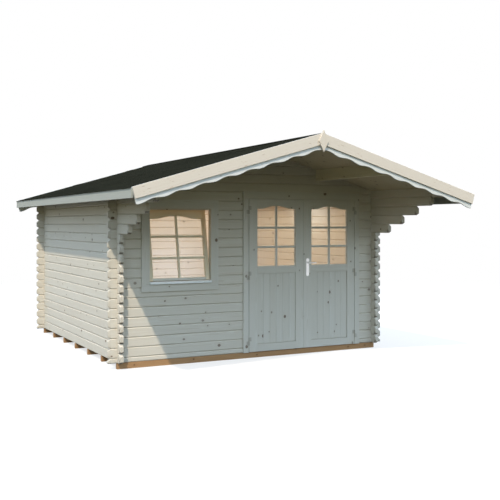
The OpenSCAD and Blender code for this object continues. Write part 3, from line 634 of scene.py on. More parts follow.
# Roof boards: planed pine boards 95 mm wide nailed across the purlins from ridge to eave.
# The V of each joint shows on the underside.
DECK_T, EAVE_OUT = 0.018, 0.356
ROOF_HALF = HALF_W + EAVE_OUT
# Outside the room the boards are darker than the room's pine: painted shade for the canopy's underside.
deck_pine_painted_shade = wood_finish("roof_board_pine", (0.51, 0.455, 0.31), (0.41, 0.345, 0.215), (0.12, 0.075, 0.04),
                         room=PINE)


def down_slope(side):
    """Directions down the slope of one roof side, square to it, and along the ridge."""
    return (side * SLOPE_COS, 0.0, -SLOPE_SIN), (side * SLOPE_SIN, 0.0, SLOPE_COS), (0, 1, 0)


def plumb(local):
    """Sets both ends of a roof board plumb: points move up the slope by their height times the slope."""
    local[..., 0] -= local[..., 1] * SLOPE_TAN
    return local


deck_count = 57
deck_wide = (DECK_Y[1] - DECK_Y[0]) / deck_count
deck_long = (ROOF_HALF - EDGE_T - PLAY) / SLOPE_COS
for side, slope in SIDES:
    rng = np.random.default_rng(60 + side)
    boards = [timber(rng, board_outline(deck_wide, DECK_T, 0.003), (PLAY, deck_long),
                     (0.0, DECK_Y[0] + i * deck_wide, RIDGE_UNDER), *down_slope(side), plumb)
              for i in range(deck_count)]
    made(slope + "_roof_decking", boards, deck_pine_painted_shade, "bare_pine", "root", slope + "_roof_boards")


# Roofing: dark mineral felt in three rolls on each slope, each lapped over the one below, nailed and glued,
# and a folded strip of the same felt over the ridge.
FELT_T, FELT_OUT, LAP, LAP_FLAT, RIDGE_LIFT, SETTLE = 0.0032, 0.010, 0.14, 0.085, 0.005, 0.00045
FELT_LOW, PLAIN = DECK_T / SLOPE_COS + PLAY, ((0.0, 0.0),)
roofing_felt, start = finish_start("dark_roofing_felt")
place = start.place()
granule = place.node("ShaderNodeTexVoronoi", None, {"Vector": place, "Scale": 520.0}, "Color")
grit, sparkle, warmth = granule.parts()
patch = place.noise((1.3, 1.3, 1.3), 4.0)
streak = place.noise((3.0, 28.0, 3.0), 2.0)
worn = (patch * 0.9 + streak * 0.5 - 0.25).clamp()
dark = worn.blend((0.0062, 0.0068, 0.0047), (0.0170, 0.0176, 0.0126))
slate = (grit > 0.84).blend(dark, (0.025, 0.0255, 0.0185))
felt_colour = (warmth > 0.95).blend(slate, (0.042, 0.039, 0.029))
felt_bump = start.node("ShaderNodeBump", None, {"Strength": 0.5, "Distance": 0.0010, "Height": grit + patch})
finish_end(start, {"Base Color": felt_colour, "Roughness": sparkle * 0.1 + 0.86, "Normal": felt_bump,
                   "Specular IOR Level": 0.0})


def felt_profile(eave, laps):
    """Rolls seen from the side, down the slope and square to it: an even thickness that rises over half a
    hand to double where a roll lies on the next one, then drops to single at the roll's lower edge."""
    top = [(0.0, FELT_T)]
    for lap in laps:
        top += [(lap - LAP, FELT_T), (lap - LAP_FLAT, 2 * FELT_T), (lap - 0.002, 2 * FELT_T),
                (lap, 2 * FELT_T - 0.0012), (lap + 0.0006, FELT_T)]
    top += [(eave - 0.004, FELT_T), (eave, FELT_T - 0.002), (eave, -0.0005), (eave - 0.006, 0.0)]
    return np.array([(0.0, 0.0)] + top)


felt_long = (ROOF_HALF + FELT_OUT) / SLOPE_COS
felt_rows = np.linspace(*DECK_Y, deck_count * 8 + 1)
for side, slope in SIDES:
    rng = np.random.default_rng(70 + side)
    wave = rng.uniform(0.0, 2 * np.pi, 4)

    def settled(local):
        """Felt lies with slow waves and sinks a little over each board joint: its upper side moves by a few
        sines of both directions and by the eighth power of a cosine of the board pitch, then its edges are
        set plumb."""
        y, s, h = local[..., 0], local[..., 1], local[..., 2]
        ripple = np.sin(3.1 * y + 2.0 * s + wave[0]) + np.sin(7.3 * y - 3.7 * s + wave[1])
        ripple += 0.7 * np.sin(17.0 * y + wave[2]) * np.sin(4.0 * s + wave[3])
        ripple -= 2.2 * np.cos(np.pi * (y - DECK_Y[0]) / deck_wide) ** 8
        local[..., 2] = h + np.clip(h, 0.0, FELT_T) / FELT_T * SETTLE * ripple
        local[..., 1] = s - h * SLOPE_TAN
        return local

    profile = felt_profile(felt_long, (0.42, 1.335))
    profile[:, 0] += PLAY
    slope_way, square_way, ridge_way = down_slope(side)
    roll = timber(rng, profile, felt_rows, (0, 0, RIDGE_UNDER + FELT_LOW), ridge_way, slope_way, square_way,
                  settled, (PLAIN, PLAIN))
    made(slope + "_felt_rolls", [roll], roofing_felt, "roofing_felt", "root", slope + "_roofing")

RIDGE_TOP = RIDGE_UNDER + FELT_LOW + RIDGE_LIFT / SLOPE_COS
ridge_half, fold_round, strip_below, strip_above = 0.120, 0.006, 0.0012, 0.0030
fold_x = ridge_half * SLOPE_COS * np.linspace(-1.0, 1.0, 25)
fold_z = -SLOPE_TAN * (np.sqrt(fold_x ** 2 + fold_round ** 2) - fold_round)
strip_under = np.stack([fold_x, fold_z - strip_below], -1)
strip_over = np.stack([fold_x, fold_z + strip_above], -1)[::-1]
strip = timber(np.random.default_rng(75), np.concatenate([strip_under, strip_over]), felt_rows,
               (0, 0, RIDGE_TOP), *FRONT_TO_BACK, None, (PLAIN, PLAIN))
made("ridge_felt", [strip], roofing_felt, "roofing_felt", "root", "ridge_strip")


# Eave boards: planed boards 18 by 100 mm nailed to the ends of the roof boards, bevelled under the felt.
# They are a darker, cooler grey than the bargeboards and run the length of the roof between them.
edge_wood = wood_finish("pale_edge_wood", (0.665, 0.607, 0.522), (0.565, 0.482, 0.383), (0.22, 0.14, 0.08),
                        knots=0.30)
eave_wood = wood_finish("grey_eave_wood", (0.381, 0.398, 0.361), (0.315, 0.328, 0.296), (0.20, 0.17, 0.14),
                        knots=0.25)
EAVE_H = 0.100
rng = np.random.default_rng(80)
eave_boards = []
for side in (-1, 1):
    inner, outer = ROOF_HALF - EDGE_T, ROOF_HALF
    tops = roof_under(np.array([inner, outer])) + DECK_T / SLOPE_COS
    corners = [(inner, tops[0]), (outer, tops[1]), (outer, tops[1] - EAVE_H), (inner, tops[1] - EAVE_H)]
    ways = (0, 1, 0), (side, 0, 0), (0, 0, 1)
    eave_boards.append(timber(rng, eased(corners, 0.002), DECK_Y, (0, 0, 0), *ways))
made("eave_fascias", eave_boards, eave_wood, "edge_wood", "root", "eave_boards")


# Bargeboards: on each gable a straight board over a wider board with a wavy lower edge, both planed softwood,
# mitred plumb at the ridge and nailed to the purlins and to each other.
BARGE_L = ROOF_HALF / SLOPE_COS
BARGE_W, WAVE_W, WAVE_RISE, WAVE_LEN, WAVE_START = 0.118, 0.169, 0.0095, 0.2745, 0.280


def barge_pair(rng, y, stations, depth):
    """Two boards that meet at the ridge. depth gives the board's width at a distance down the slope; the
    outline, one unit wide and eased for the usual width, is stretched to it, and the first station is moved
    onto the plumb cut at the ridge."""
    outline, usual = rectangle((0.0, EDGE_T), (0.0, 1.0), 0.0022), 0.1
    outline[:, 1] = np.where(outline[:, 1] < 0.5, outline[:, 1] / usual, 1.0 - (1.0 - outline[:, 1]) / usual)
    pair = []
    for side in (-1, 1):
        def shape(local):
            down = local[..., 0]
            local[..., 2] *= depth(down)
            local[..., 0] = np.where(down < 0.002, local[..., 2] * SLOPE_TAN + down, down)
            return local

        slope_way, square_way = down_slope(side)[:2]
        peak = (side * PLAY / 2, y, RIDGE_TOP)
        ways = slope_way, (0, 1, 0), tuple(-v for v in square_way)
        pair.append(timber(rng, outline, stations, peak, *ways, shape, (PLAIN, SAWN)))
    return pair


def straight(down):
    """Depth of the straight board: its width all the way."""
    return np.full_like(down, BARGE_W)


def wavy(down):
    """Depth of the wavy edge: a mean width plus a cosine of the distance down the slope."""
    return WAVE_W + WAVE_RISE * np.cos(2 * np.pi * (down - WAVE_START) / WAVE_LEN)


wave_wood = wood_finish("cool_wave_wood", (0.69, 0.70, 0.675), (0.60, 0.595, 0.555), (0.30, 0.24, 0.18),
                        knots=0.2)
barge_steps = np.r_[0.0, np.linspace(0.06, BARGE_L, 12)]
wave_steps = np.r_[0.0, np.linspace(0.06, BARGE_L, 150)]
for gable, outer_y, inner_y in (("front", FRONT_Y, FRONT_Y + EDGE_T),
                                ("rear", REAR_Y - EDGE_T, REAR_Y - 2 * EDGE_T)):
    rng = np.random.default_rng(90 + len(gable))
    made(gable + "_straight_barges", barge_pair(rng, outer_y, barge_steps, straight), edge_wood, "edge_wood",
         "root", gable + "_bargeboards")
    made(gable + "_wavy_barges", barge_pair(rng, inner_y, wave_steps, wavy), wave_wood, "edge_wood",
         "root", gable + "_wave_boards")


# Finials: diamond boards with chamfered edges, nailed over the joint of the bargeboards at each gable.
# Their grain runs upright.
FINIAL_W, FINIAL_H, FINIAL_UP = 0.120, 0.244, 0.050
rng = np.random.default_rng(100)
diamond = eased([(-FINIAL_W / 2, 0.0), (0.0, -FINIAL_H / 2), (FINIAL_W / 2, 0.0), (0.0, FINIAL_H / 2)], 0.003)
chamfered = ((0.0, 0.0045), (0.0030, 0.0))
finial_z = RIDGE_TOP + FINIAL_UP - FINIAL_H / 2
diamonds = [timber(rng, diamond, (0.0, EDGE_T), (0.0, y, finial_z - drop), (0, way, 0), (1, 0, 0), (0, 0, 1),
                   None, (SAWN, chamfered), 0.0, (2, 0, 1))
            for y, way, drop in ((FRONT_Y, -1, 0.016), (REAR_Y, 1, 0.045))]
made("gable_diamonds", diamonds, edge_wood, "edge_wood", "root", "finials")


# Door frame: planed jambs and head with a stop behind the leaves, and a low threshold between the jambs.
# It lines the whole thickness of the log wall.
joinery_wood = wood_finish("pale_joinery_wood", (0.65, 0.635, 0.58), (0.54, 0.505, 0.43), (0.12, 0.085, 0.06),
                           knots=0.32)
DOOR_MID, LEAF_W, LEAF_H, LEAF_T, MEET = 0.681, 0.782, 1.905, 0.040, 0.007
FACE_Y, LEAF_Z, GAP, TRIM_T, JAMB = -HALF_D - 0.018, 0.075, 0.005, 0.018, 0.040
DOOR_CLEAR = LEAF_W + MEET / 2 + GAP
STOP_Y, INNER_Y, STOP_W = FACE_Y + LEAF_T + GAP, -HALF_D + LOG_T, 0.012
HEAD_Z = LEAF_Z + LEAF_H + GAP
rng = np.random.default_rng(110)
jamb = [(DOOR_CLEAR, -HALF_D), (DOOR_CLEAR + JAMB, -HALF_D), (DOOR_CLEAR + JAMB, INNER_Y),
        (DOOR_CLEAR - STOP_W, INNER_Y), (DOOR_CLEAR - STOP_W, STOP_Y), (DOOR_CLEAR, STOP_Y)]
frame_parts = [timber(rng, eased(jamb, 0.0015), (BASE, HEAD_Z + JAMB), (DOOR_MID, 0, 0),
                      (0, 0, 1), (side, 0, 0), (0, 1, 0)) for side in (-1, 1)]
head = [(-HALF_D, HEAD_Z), (STOP_Y, HEAD_Z), (STOP_Y, HEAD_Z - STOP_W), (INNER_Y, HEAD_Z - STOP_W),
        (INNER_Y, HEAD_Z + JAMB), (-HALF_D, HEAD_Z + JAMB)]
inner_half = DOOR_CLEAR - STOP_W - PLAY
between_jambs = (DOOR_MID - inner_half, DOOR_MID + inner_half)
frame_parts.append(timber(rng, eased(head, 0.0015), between_jambs))
foot_back, foot_top, foot_nose = INNER_Y + 0.008 - PLAY, BASE + 0.024, BASE + 0.018
threshold = [(STOP_Y, BASE), (foot_back, BASE), (foot_back, foot_top), (STOP_Y + 0.012, foot_top),
             (STOP_Y, foot_nose)]
frame_parts.append(timber(rng, eased(threshold, 0.002), between_jambs))
made("door_jambs", frame_parts, joinery_wood, "joinery_wood", "root", "door_frame")


# Trim: planed boards 18 mm thick nailed over the joints between wall and frames, pale outside and bare pine
# inside; the head board of the door runs over the side boards.
EASE = 0.003


def box_board(rng, low, high, grain, thick):
    """Board that fills the box from low to high, its grain along one axis and its thickness along another."""
    axes, wide = np.eye(3), 3 - grain - thick
    size = np.asarray(high, float) - low
    outline = rectangle((0.0, size[thick]), (0.0, size[wide]), EASE)
    return timber(rng, outline, (0.0, size[grain]), low, axes[grain], axes[thick], axes[wide])


def trim_round(rng, mid, half, width, low, high, y, head, *foot):
    """Boards round an opening: two upright, one across the top and, with foot, one across below."""
    outer = half + width
    boards = [box_board(rng, (x0, y[0], low), (x1, y[1], high - PLAY), 2, 1)
              for x0, x1 in ((mid - outer, mid - half), (mid + half, mid + outer))]
    return boards + [box_board(rng, (mid - outer, y[0], z0), (mid + outer, y[1], z1), 0, 1)
                     for z0, z1 in ((high, high + head), *foot)]


WIN_MID, WIN_HALF, WIN_LOW, WIN_HIGH = -1.014, 0.391, 0.990, 1.854
DOOR_TRIM, WIN_TRIM, APRON, SILL_H, OVERLAP = 0.075, 0.100, 0.090, 0.028, 0.010
DOOR_HEAD = BASE + (COURSES - 0.5) * PITCH + OVERLAP - HEAD_Z
WIN_HEAD = BASE + (WINDOW_COURSE + 0.5) * PITCH + OVERLAP - WIN_HIGH
OUTSIDE, INSIDE = (-HALF_D - TRIM_T, -HALF_D), (INNER_Y, INNER_Y + TRIM_T)
rng = np.random.default_rng(120)
made("door_surround", trim_round(rng, DOOR_MID, DOOR_CLEAR, DOOR_TRIM, BASE, HEAD_Z, OUTSIDE, DOOR_HEAD),
     joinery_wood, "joinery_wood", "root", "door_trim")
apron_top = WIN_LOW - SILL_H - PLAY
made("window_surround", trim_round(rng, WIN_MID, WIN_HALF, WIN_TRIM, WIN_LOW - SILL_H, WIN_HIGH, OUTSIDE,
                                   WIN_HEAD, (apron_top - APRON, apron_top)),
     joinery_wood, "joinery_wood", "root", "window_trim")
inner_boards = trim_round(rng, DOOR_MID, DOOR_CLEAR, DOOR_TRIM, FLOOR_Z + FLOOR_T + PLAY, HEAD_Z, INSIDE,
                          DOOR_HEAD)
inner_boards += trim_round(rng, WIN_MID, WIN_HALF, WIN_TRIM, WIN_LOW, WIN_HIGH, INSIDE,
                           WIN_HEAD, (WIN_LOW - PLAY - APRON, WIN_LOW - PLAY))
made("room_side_trim", inner_boards, bare_pine, "bare_pine", "root", "inner_trim")


# Door leaves: planed stiles and rails, upright boards with V joints below, and above a window of two by three
# panes whose top rail is shaped to a crest; glazing bars and beads hold the glass. A lip along the outer edge
# of each meeting stile narrows the gap between the leaves.
STILE, FOOT_RAIL, MID_LOW, MID_RAIL, HEAD_RAIL = 0.115, 0.092, 0.973, 0.089, 0.114
PANE_LOW, PANE_HIGH = MID_LOW + MID_RAIL, LEAF_H - HEAD_RAIL
CREST, CREST_FOOT, CREST_CLIMB, CREST_STEPS = 0.034, 0.40, 0.32, 33
BEAD, BEAD_T, BEAD_AT, BAR, LIE_HALF, STAND_HALF = 0.005, 0.010, 0.004, 0.027, 0.014, 0.015
LIP, LIP_DEEP = 0.0027, 0.012
LINING_Y, LINING_T, LINING_VEE, GROOVE, GROOVE_Y = 0.011, 0.018, 0.0024, 0.008, (0.021, 0.029)


def crest(across, width, rise):
    """Rise of a glazing's top: level at the sides, then half a cosine wave up to a level middle."""
    climb = np.clip((CREST_FOOT - np.abs(across / width - 0.5)) / CREST_CLIMB, 0.0, 1.0)
    return rise * 0.5 * (1.0 - np.cos(np.pi * climb))


def crested_rail(rng, place, width, low, high, thick, rise):
    """Rail whose lower edge swells to a crest: heights are stretched between the crest line and the top."""
    def shape(local):
        foot = low + crest(local[..., 0], width, rise)
        local[..., 2] = foot + (local[..., 2] - low) / (high - low) * (high - foot)
        return local
    return place(rng, rectangle((0.0, thick), (low, high), EASE), np.linspace(0.0, width, CREST_STEPS), shape)


def bead(rng, place, start, stop, level, front, lift=None):
    """Small rounded strip 5 mm wide against the glass; lift raises it along a glazing's crest."""
    def shape(local):
        local[..., 2] += lift(local[..., 0])
        return local
    outline = rectangle((front, front + BEAD_T), (level, level + BEAD))
    steps = np.linspace(start, stop, CREST_STEPS) if lift else (start, stop)
    return place(rng, outline, steps, shape if lift else None)


def lattice(rng, lie, stand, width, low, high, rise, thick, levels=(1 / 3, 2 / 3)):
    """Glazing bars of two by three panes, and beads on both sides of the glass, in the opening's own axes."""
    mid = thick / 2

    def section(half, place):
        return rectangle((mid - half, mid + half), (place - BAR / 2, place + BAR / 2), 0.005)

    bars = [lie(rng, section(LIE_HALF, low + k * (high - low)), (0.0, width)) for k in levels]
    bars.append(stand(rng, section(STAND_HALF, width / 2), (low, high + rise)))
    for front in (mid - BEAD_AT - BEAD_T, mid + BEAD_AT):
        bars.append(bead(rng, lie, 0.0, width, low, front))
        bars.append(bead(rng, lie, 0.0, width, high - BEAD, front, lambda a: crest(a, width, rise)))
        bars += [bead(rng, stand, low + BEAD, high - BEAD, edge, front) for edge in (0.0, width - BEAD)]
    return bars


def fitted(corner, over, inward, up, stile):
    """Two ways to fit a piece into a leaf or sash, counted from the glazing's side: lie, across it, with the
    outline over thickness and height, and stand, upright, with the outline over thickness and width."""
    def lie(rng, outline, stations, shape=None, inset=stile):
        return timber(rng, outline, stations, corner + inset * over, over, inward, up, shape)

    def stand(rng, outline, stations, shape=None, inset=stile):
        return timber(rng, outline, stations, corner + inset * over, up, inward, over, shape)
    return lie, stand


for side, leaf in SIDES:
    rng = np.random.default_rng(130 + side)
    corner = np.array((DOOR_MID + side * MEET / 2, FACE_Y, LEAF_Z))
    lie, stand = fitted(corner, np.array((side, 0.0, 0.0)), (0, 1, 0), (0, 0, 1), STILE)
    pane = LEAF_W - 2 * STILE
    wide = (0.0, LEAF_T)
    lipped = [(0.0, -LIP), (LIP_DEEP, -LIP), (LIP_DEEP, 0.0), (LEAF_T, 0.0), (LEAF_T, STILE), (0.0, STILE)]
    uprights = (eased(lipped, 0.002), rectangle(wide, (LEAF_W - STILE, LEAF_W), EASE))
    members = [stand(rng, outline, (0.0, LEAF_H), inset=0.0) for outline in uprights]
    rails = ((0.0, FOOT_RAIL), (MID_LOW, PANE_LOW))
    members += [lie(rng, rectangle(wide, heights, EASE), (0.0, pane)) for heights in rails]
    members.append(crested_rail(rng, lie, pane, PANE_HIGH, LEAF_H, LEAF_T, CREST))
    members += lattice(rng, lie, stand, pane, PANE_LOW, PANE_HIGH, CREST, LEAF_T)
    made(leaf + "_leaf_joinery", members, joinery_wood, "joinery_wood", leaf + "_leaf", leaf + "_door_frame")
    count, lining_low = 6, FOOT_RAIL + GROOVE
    strip_w = pane / count
    strips = []
    for i in range(count):
        outline = board_outline(strip_w, LINING_T, LINING_VEE) + (LINING_Y, i * strip_w)
        strips.append(stand(rng, outline, (lining_low, MID_LOW - PLAY)))
    strips.append(lie(rng, rectangle(GROOVE_Y, (FOOT_RAIL + PLAY, lining_low)), (PLAY, pane - PLAY)))
    made(leaf + "_leaf_boarding", strips, joinery_wood, "joinery_wood", leaf + "_leaf", leaf + "_door_boards")


# Window: a planed frame in the wall, a sill strip with a sloped top, and a sash of two by three panes that
# stands tipped inwards at the top about its lower edge.
rng = np.random.default_rng(150)
FRAME_T, FRAME_PLAY, HEAD_STOP, SILL_OUT, SILL_FALL = 0.030, 0.009, 0.016, 0.045, 0.0075
casing_low = BASE + (SILL_COURSE - 0.5) * PITCH + FRAME_PLAY
outer_half, inner_half = WIN_HALF + FRAME_T, WIN_HALF - PLAY
casing = [box_board(rng, (WIN_MID + x0, y0, z0), (WIN_MID + x1, INNER_Y, z1), grain, thick)
          for x0, x1, y0, z0, z1, grain, thick in (
              (-outer_half, -WIN_HALF, -HALF_D, WIN_LOW + PLAY, WIN_HIGH - PLAY, 2, 0),
              (WIN_HALF, outer_half, -HALF_D, WIN_LOW + PLAY, WIN_HIGH - PLAY, 2, 0),
              (-outer_half, outer_half, -HALF_D, WIN_HIGH, WIN_HIGH + FRAME_T, 0, 2),
              (-outer_half, outer_half, -HALF_D, casing_low, WIN_LOW, 0, 2),
              (-inner_half, inner_half, INNER_Y - HEAD_STOP, WIN_HIGH - HEAD_STOP, WIN_HIGH - PLAY, 0, 1))]
made("window_casing", casing, joinery_wood, "joinery_wood", "root", "window_frame")
sill_y = -HALF_D - SILL_OUT
sill = [(-HALF_D, WIN_LOW - SILL_H), (-HALF_D, WIN_LOW), (-HALF_D - TRIM_T, WIN_LOW),
        (sill_y, WIN_LOW - SILL_FALL), (sill_y, WIN_LOW - SILL_H)]
sill_wood = wood_finish("white_sill_wood", (0.93, 0.955, 0.955), (0.87, 0.89, 0.885), (0.55, 0.52, 0.46),
                        knots=0.1)
made("window_sill_strip", [timber(rng, eased(sill, EASE), (WIN_MID - inner_half, WIN_MID + inner_half))],
     sill_wood, "joinery_wood", "root", "window_sill")
SASH_W, SASH_H, SASH_T, SASH_STILE, SASH_FOOT, SASH_HEAD = 0.770, 0.859, 0.040, 0.046, 0.030, 0.072
TILT = np.radians(10.0)
sash_in = np.array((0.0, np.cos(TILT), -np.sin(TILT)))
sash_up = np.array((0.0, np.sin(TILT), np.cos(TILT)))
sash_foot = np.array((WIN_MID - SASH_W / 2, INNER_Y, WIN_LOW + PLAY)) - SASH_T * sash_in
sash_pane = SASH_W - 2 * SASH_STILE
sash_high = SASH_H - SASH_HEAD - CREST
lie, stand = fitted(sash_foot, np.array((1.0, 0.0, 0.0)), sash_in, sash_up, SASH_STILE)
members = [stand(rng, rectangle((0.0, SASH_T), (u, u + SASH_STILE), EASE), (0.0, SASH_H), inset=0.0)
           for u in (0.0, SASH_W - SASH_STILE)]
foot_rail = lie(rng, rectangle((0.0, SASH_T), (0.0, SASH_FOOT), EASE), (0.0, sash_pane))
members.append(crested_rail(rng, lie, sash_pane, sash_high, SASH_H, SASH_T, CREST))
members += lattice(rng, lie, stand, sash_pane, SASH_FOOT, sash_high, CREST, SASH_T, (0.335, 0.695))
# The sash's warm brown colour is painted light: the warm room light and the frame's shade on it. Its foot
# rail, lit from outside, keeps the plain joinery finish.
sash_painted_light_wood = wood_finish("warm_sash_wood", (0.82, 0.73, 0.55), (0.70, 0.59, 0.41), (0.14, 0.09, 0.05),
                        knots=0.15)
made("tipped_sash", members, sash_painted_light_wood, "joinery_wood", "root", "window_sash")
made("tipped_sash_foot", [foot_rail], joinery_wood, "joinery_wood", "root", "window_sash")


# Glass: 4 mm clear float panes in the leaves and the sash.
# Weather has left a thin, uneven film on them.
clear_glass, start = finish_start("clear_glass")
place = start.place()
smear = place.noise((2.0, 2.0, 5.0), 3.0)
film = smear.blend((0.80, 0.86, 0.85), (0.92, 0.94, 0.93))
finish_end(start, {"Base Color": film, "Roughness": smear * 0.05 + 0.01, "Alpha": smear * 0.06 + 0.07,
                   "IOR": 1.5})
for node in ("left_door_glass", "right_door_glass", "window_glass"):
    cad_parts[node].data.materials.clear()
    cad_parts[node].data.materials.append(clear_glass)


# Hinges: dull zinc plated steel, a plate and a barrel half on each leaf and on each side trim, three a leaf.
# Each plate is held by two countersunk screws.
hinge_steel, start = finish_start("dull_zinc_steel")
place = start.place()
spangle = place.node("ShaderNodeTexVoronoi", None, {"Vector": place, "Scale": 260.0}, "Color")
grey, dullness = spangle.parts()[:2]
zinc = grey.blend((0.38, 0.36, 0.31), (0.49, 0.47, 0.41))
finish_end(start, {"Base Color": zinc, "Roughness": dullness * 0.18 + 0.55, "Metallic": 0.15})
HINGE_Y, BARREL_R, BARREL_H, BARREL_RIM = FACE_Y - 0.0088, 0.008, 0.050, 0.0012
PLATE_W, PLATE_T, SCREW_X, SCREW_Z, HINGE_END, SINK = 0.032, 0.0025, 0.0215, 0.012, 0.135, 0.0002


def turned(profile, at, axis, sides=24):
    """Round piece: each (distance, radius) of the profile becomes a ring of points about the axis."""
    profile, axis = np.asarray(profile, float), np.asarray(axis, float)
    other = np.roll(axis, 1)
    turn = np.linspace(0.0, 2.0 * np.pi, sides, endpoint=False)[:, None]
    ring = np.cos(turn) * other + np.sin(turn) * np.cross(axis, other)
    return carried(np.asarray(at) + profile[:, 0, None, None] * axis + profile[:, 1, None, None] * ring)


def plate(outline, thick, at, along, across, up, soft=0.0008):
    """Flat piece with softened edges: an outline carried through its thickness, drawn in at the far side."""
    outline = np.asarray(outline, float)
    middle = (outline.max(0) + outline.min(0)) / 2
    half = np.ptp(outline, axis=0) / 2
    steps = np.array([(0.0, 0.0), (thick - soft, 0.0), (thick - 0.3 * soft, 0.3 * soft), (thick, soft)])
    drawn = middle + (outline - middle) * (1.0 - steps[:, 1, None, None] / half)
    local = np.concatenate([np.broadcast_to(steps[:, 0, None, None], drawn.shape[:2] + (1,)), drawn], -1)
    return carried(np.asarray(at) + local @ np.array([along, across, up], float))


def screw_head(at, axis, radius=0.0038):
    """Low domed head with a round recess in its middle."""
    rise = np.array([(0.0, 1.0), (0.10, 0.98), (0.22, 0.80), (0.27, 0.45), (0.10, 0.40), (0.08, 0.05)])
    return turned(rise * radius, at, axis, 16)


def hinge_half(axis_x, inward, low):
    """Barrel half between low and low plus its height, with rounded rims, and its plate towards inward."""
    r, h, rim, inner = BARREL_R, BARREL_H, BARREL_RIM, BARREL_R / 2
    profile = [(0.0, r - rim), (rim, r), (h - rim, r), (h, r - rim)]
    barrel = turned(profile, (axis_x, HINGE_Y, low), (0, 0, 1))
    leaf = plate(eased([(inner, 0.0), (PLATE_W, 0.0), (PLATE_W, h), (inner, h)], 0.005, 4), PLATE_T,
                 (axis_x, FACE_Y - PLAY, low), (0, -1, 0), (inward, 0, 0), (0, 0, 1))
    screw_x, screw_y = axis_x + inward * SCREW_X, FACE_Y - PLAY - PLATE_T + SINK
    screws = [screw_head((screw_x, screw_y, low + z), (0, -1, 0)) for z in (SCREW_Z, h - SCREW_Z)]
    return [barrel, leaf, *screws]


hinge_levels = LEAF_Z + np.array((HINGE_END, LEAF_H / 2, LEAF_H - HINGE_END))
hinge_reach = LEAF_W + MEET / 2 + GAP / 2
posts = []
for side, leaf in SIDES:
    axis_x = DOOR_MID + side * hinge_reach
    halves = sum((hinge_half(axis_x, -side, z) for z in hinge_levels), [])
    made(leaf + "_leaf_hinge_halves", halves, hinge_steel, "hinge_steel", leaf + "_leaf",
         leaf + "_door_hinges")
    posts += sum((hinge_half(axis_x, side, z - PLAY - BARREL_H) for z in hinge_levels), [])
made("frame_hinge_halves", posts, hinge_steel, "hinge_steel", "root", "door_hinge_posts")


# Handle: long satin silver plates with round ends on both faces of the right leaf, each with a lock cylinder
# below, and a cranked lever that turns in it.
handle_metal, start = finish_start("satin_silver")
place = start.place()
brushed = place.noise((900.0, 900.0, 40.0), 2.0)
silver = brushed.blend((0.62, 0.63, 0.63), (0.78, 0.79, 0.79))
finish_end(start, {"Base Color": silver, "Roughness": brushed * 0.15 + 0.26, "Metallic": 0.9})
SPINDLE = np.array((DOOR_MID + MEET / 2 + 0.054, 0.0, LEAF_Z + 1.095))
HANDLE_W, HANDLE_H, HANDLE_UP, HANDLE_T = 0.045, 0.233, 0.059, 0.007
LEVER_L, LEVER_OUT, LEVER_BEND, LEVER_BOW, LEVER_R = 0.115, 0.045, 0.014, 0.004, 0.0090
LEVER_TIP, LEVER_TAPER, SLIM_DEEP, SLIM_TALL = 0.010, 0.05, 0.0030, 0.0010
LOCK_R, LOCK_Z, LOCK_T, PLATE_SCREWS, PLATE_SOFT = 0.0085, -0.092, 0.0025, (0.044, -0.158), 0.0025
ROSETTE = ((0.0, 0.0145), (0.0020, 0.0145), (0.0030, 0.0130), (0.0030, 0.0105))


def arc(radius, start, stop, count):
    """Points of a circle round the middle, from one angle to another."""
    turn = np.linspace(start, stop, count)
    return radius * np.stack([np.cos(turn), np.sin(turn)], -1)


end_r = HANDLE_W / 2
round_end = arc(end_r, 0.0, np.pi, 15)
stadium = np.concatenate([round_end + (0.0, HANDLE_UP - end_r),
                          -round_end + (0.0, HANDLE_UP - HANDLE_H + end_r)])
lock = np.concatenate([arc(LOCK_R, -0.30 * np.pi, 1.30 * np.pi, 17), [(-0.005, -0.024), (0.005, -0.024)]])


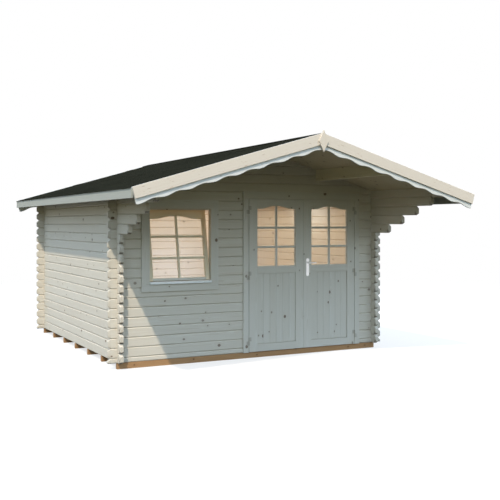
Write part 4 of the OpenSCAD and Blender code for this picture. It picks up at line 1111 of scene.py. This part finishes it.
def swept(path, deep, tall):
    """Bar along a path: at each point an ellipse, deep and tall, square to the path's direction."""
    ahead = np.gradient(path, axis=0)
    ahead /= np.linalg.norm(ahead, axis=1, keepdims=True)
    side = np.cross((0.0, 0.0, 1.0), ahead)
    turn = np.linspace(0.0, 2.0 * np.pi, 20, endpoint=False)[None, :, None]
    up = np.array((0.0, 0.0, 1.0))
    level = np.cos(turn) * (deep[:, None] * side)[:, None]
    return carried(path[:, None] + level + np.sin(turn) * tall[:, None, None] * up)


plates, levers = [], []
for face, out in ((FACE_Y - PLAY, -1), (FACE_Y + LEAF_T + PLAY, 1)):
    foot, ways = SPINDLE + (0.0, face, 0.0), ((0, out, 0), (1, 0, 0), (0, 0, 1))
    on_plate = foot + (0.0, out * (HANDLE_T - SINK), 0.0)
    plates.append(plate(stadium, HANDLE_T, foot, *ways, PLATE_SOFT))
    plates.append(turned(ROSETTE, on_plate, (0, out, 0), 32))
    plates.append(plate(lock, LOCK_T, on_plate + (0.0, 0.0, LOCK_Z), *ways))
    plates += [screw_head(on_plate + (0.0, 0.0, z), (0, out, 0)) for z in PLATE_SCREWS]
    bend = np.linspace(0.0, np.pi / 2, 9)
    reach = np.linspace(LEVER_BEND, LEVER_L, 14)
    bend_from = LEVER_OUT - LEVER_BEND
    neck = np.stack([np.zeros(4), np.linspace(HANDLE_T + 0.0032, bend_from, 4)], -1)
    crank = np.stack([LEVER_BEND - LEVER_BEND * np.cos(bend), bend_from + LEVER_BEND * np.sin(bend)], -1)
    arm = np.stack([reach, LEVER_OUT - LEVER_BOW * ((reach - LEVER_BEND) / LEVER_L) ** 2], -1)
    plan = np.concatenate([neck, crank, arm[1:]])
    tip = np.clip((LEVER_L - plan[:, 0]) / LEVER_TIP, 0.0, 1.0)
    tip = np.sqrt(np.clip(1.0 - (1.0 - tip) ** 2, 0.02, 1.0))
    path = foot + np.stack([plan[:, 0], out * plan[:, 1], np.zeros(len(plan))], -1)
    slim = np.clip(plan[:, 0] / LEVER_TAPER, 0.0, 1.0)
    levers.append(swept(path, (LEVER_R - SLIM_DEEP * slim) * tip, (LEVER_R - SLIM_TALL * slim) * tip))
made("handle_long_plates", plates, handle_metal, "handle_metal", "right_leaf", "handle_plates")
made("cranked_levers", levers, handle_metal, "handle_metal", "lever", "lever_handle")
